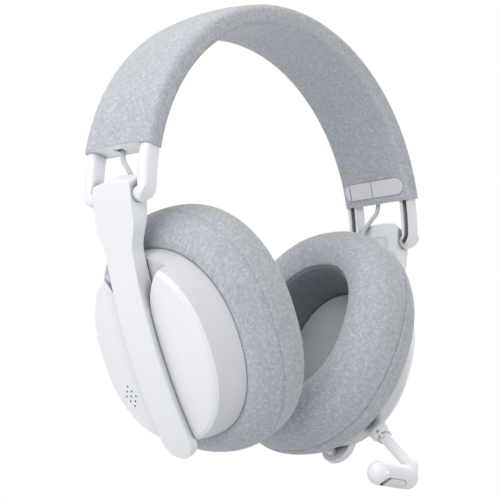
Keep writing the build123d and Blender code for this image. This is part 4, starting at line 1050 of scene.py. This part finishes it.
# ================================================================ studio
class HEADSET_OT_studio(bpy.types.Operator):
    """Sets up the floor, the white room, the lamps and the camera."""

    bl_idname = "headset.studio"
    bl_label = "Studio"

    def execute(self, context):
        studio = settings("studio")
        self.camera(studio)
        self.floor(studio)
        self.room(studio)
        low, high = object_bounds()
        middle = (low + high) / 2
        for name, (offset, width, share) in SOFTBOXES.items():
            lamp = bpy.data.lights.new(f"{name}_softbox", "AREA")
            lamp.shape, lamp.size, lamp.energy = "SQUARE", width, studio.key * share
            holder = new_object(lamp.name, lamp)
            holder.location = middle + Vector(offset)
            holder.rotation_euler = (-Vector(offset)).to_track_quat("-Z", "Y").to_euler()
        context.scene.view_settings.view_transform = "Standard"
        return {"FINISHED"}

    def camera(self, studio):
        """Low three-quarter view from the wearer's right front."""
        data = bpy.data.cameras.new("camera")
        data.lens, data.sensor_width = studio.lens, 36
        data.clip_start, data.clip_end = 0.05, 20
        holder = bpy.context.scene.camera = new_object("camera", data)
        holder.location = Vector(CAMERA_PLACE) * MM
        holder.rotation_euler = Vector(CAMERA_LOOK).normalized().to_track_quat("-Z", "Y").to_euler()

    def floor(self, studio):
        """A wide pale floor just below the camera's level."""
        clear_selection()
        low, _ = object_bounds()
        bpy.ops.mesh.primitive_circle_add(
            vertices=96, radius=FLOOR_RADIUS, fill_type="NGON", location=(0, 0, 0))
        piece = bpy.context.object
        piece.name = "floor"
        level = min(low.z, bpy.context.scene.camera.location.z) - FLOOR_DROP
        piece.data.transform(Matrix.Translation((0, 0, level)))
        material, add = new_material("studio_floor")
        shown, bounced = (add("BsdfPrincipled", {
            "Base Color": linear(colour), "Roughness": 0.9, "Specular IOR Level": 0.1})
            for colour in (studio.floor, studio.floor_bounce))
        # The floor fades into the white room further out, as a paper sweep does.
        place = add("TexCoord")
        reach = add("VectorMath", {0: place.outputs["Object"]}, operation="LENGTH")
        fade = add("MapRange", {
            "Value": reach, "From Min": FLOOR_FADE[0], "From Max": FLOOR_FADE[1]})
        white = add("Emission", {"Color": WHITE, "Strength": 1.0})
        sweep = add("MixShader", {0: fade, 1: shown, 2: white})
        mix = add("MixShader", {0: self.seen(add), 1: bounced, 2: sweep})
        add("OutputMaterial", {"Surface": mix})
        paint(piece, material)
        piece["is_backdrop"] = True

    def seen(self, add):
        """1 for the camera's rays and those that a glossy or clear surface sends, 0 for light."""
        rays = add("LightPath")
        seen = add("Math", {
            0: rays.outputs["Is Camera Ray"], 1: rays.outputs["Is Glossy Ray"]},
            operation="MAXIMUM")
        return add("Math", {0: seen, 1: rays.outputs["Is Transmission Ray"]}, operation="MAXIMUM")

    def room(self, studio):
        """White to the camera and in reflections, and a plain even light on everything else."""
        world = bpy.data.worlds.new("white_room")
        bpy.context.scene.world = world
        world.use_nodes = True
        world.node_tree.nodes.clear()
        add = partial(add_node, world.node_tree)
        light = add("Background", {"Color": ROOM_LIGHT, "Strength": studio.ambient})
        white = add("Background", {"Color": WHITE, "Strength": 1.0})
        mix = add("MixShader", {0: self.seen(add), 1: light, 2: white})
        add("OutputWorld", {"Surface": mix})


class HEADSET_PT_panel(bpy.types.Panel):
    """Lists the headset's operators and settings."""

    bl_idname = "HEADSET_PT_panel"
    bl_label = "Gaming headset"
    bl_space_type = "VIEW_3D"
    bl_region_type = "UI"
    bl_category = "Headset"

    def draw(self, context):
        for name, group in GROUPS.items():
            box = self.layout.box()
            for key in group.__annotations__:
                box.prop(settings(name), key)
        for operator in OPERATORS:
            self.layout.operator(operator.bl_idname)


GROUPS = {"shell": ShellSettings, "knit": KnitSettings, "cushion": CushionSettings,
          "studio": StudioSettings}
OPERATORS = (HEADSET_OT_finishes, HEADSET_OT_band_sleeve, HEADSET_OT_cushions,
             HEADSET_OT_speaker_cloths, HEADSET_OT_leads, HEADSET_OT_screws,
             HEADSET_OT_vent_painted_shade, HEADSET_OT_studio)
CLASSES = (*GROUPS.values(), *OPERATORS, HEADSET_PT_panel)


def register():
    """Registers the settings, the operators and the panel."""
    for kind in CLASSES:
        bpy.utils.register_class(kind)
    for name, group in GROUPS.items():
        setattr(bpy.types.Scene, f"headset_{name}", bpy.props.PointerProperty(type=group))


def unregister():
    """Takes everything out again."""
    for name in GROUPS:
        delattr(bpy.types.Scene, f"headset_{name}")
    for kind in reversed(CLASSES):
        bpy.utils.unregister_class(kind)


def corners():
    """The shown object's box as plain numbers."""
    return [list(corner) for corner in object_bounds()]


def main():
    """Builds everything in order."""
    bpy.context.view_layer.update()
    register()
    for operator in OPERATORS:
        group, name = operator.bl_idname.split(".")
        getattr(getattr(bpy.ops, group), name)()


if __name__ == "__main__":
    main()
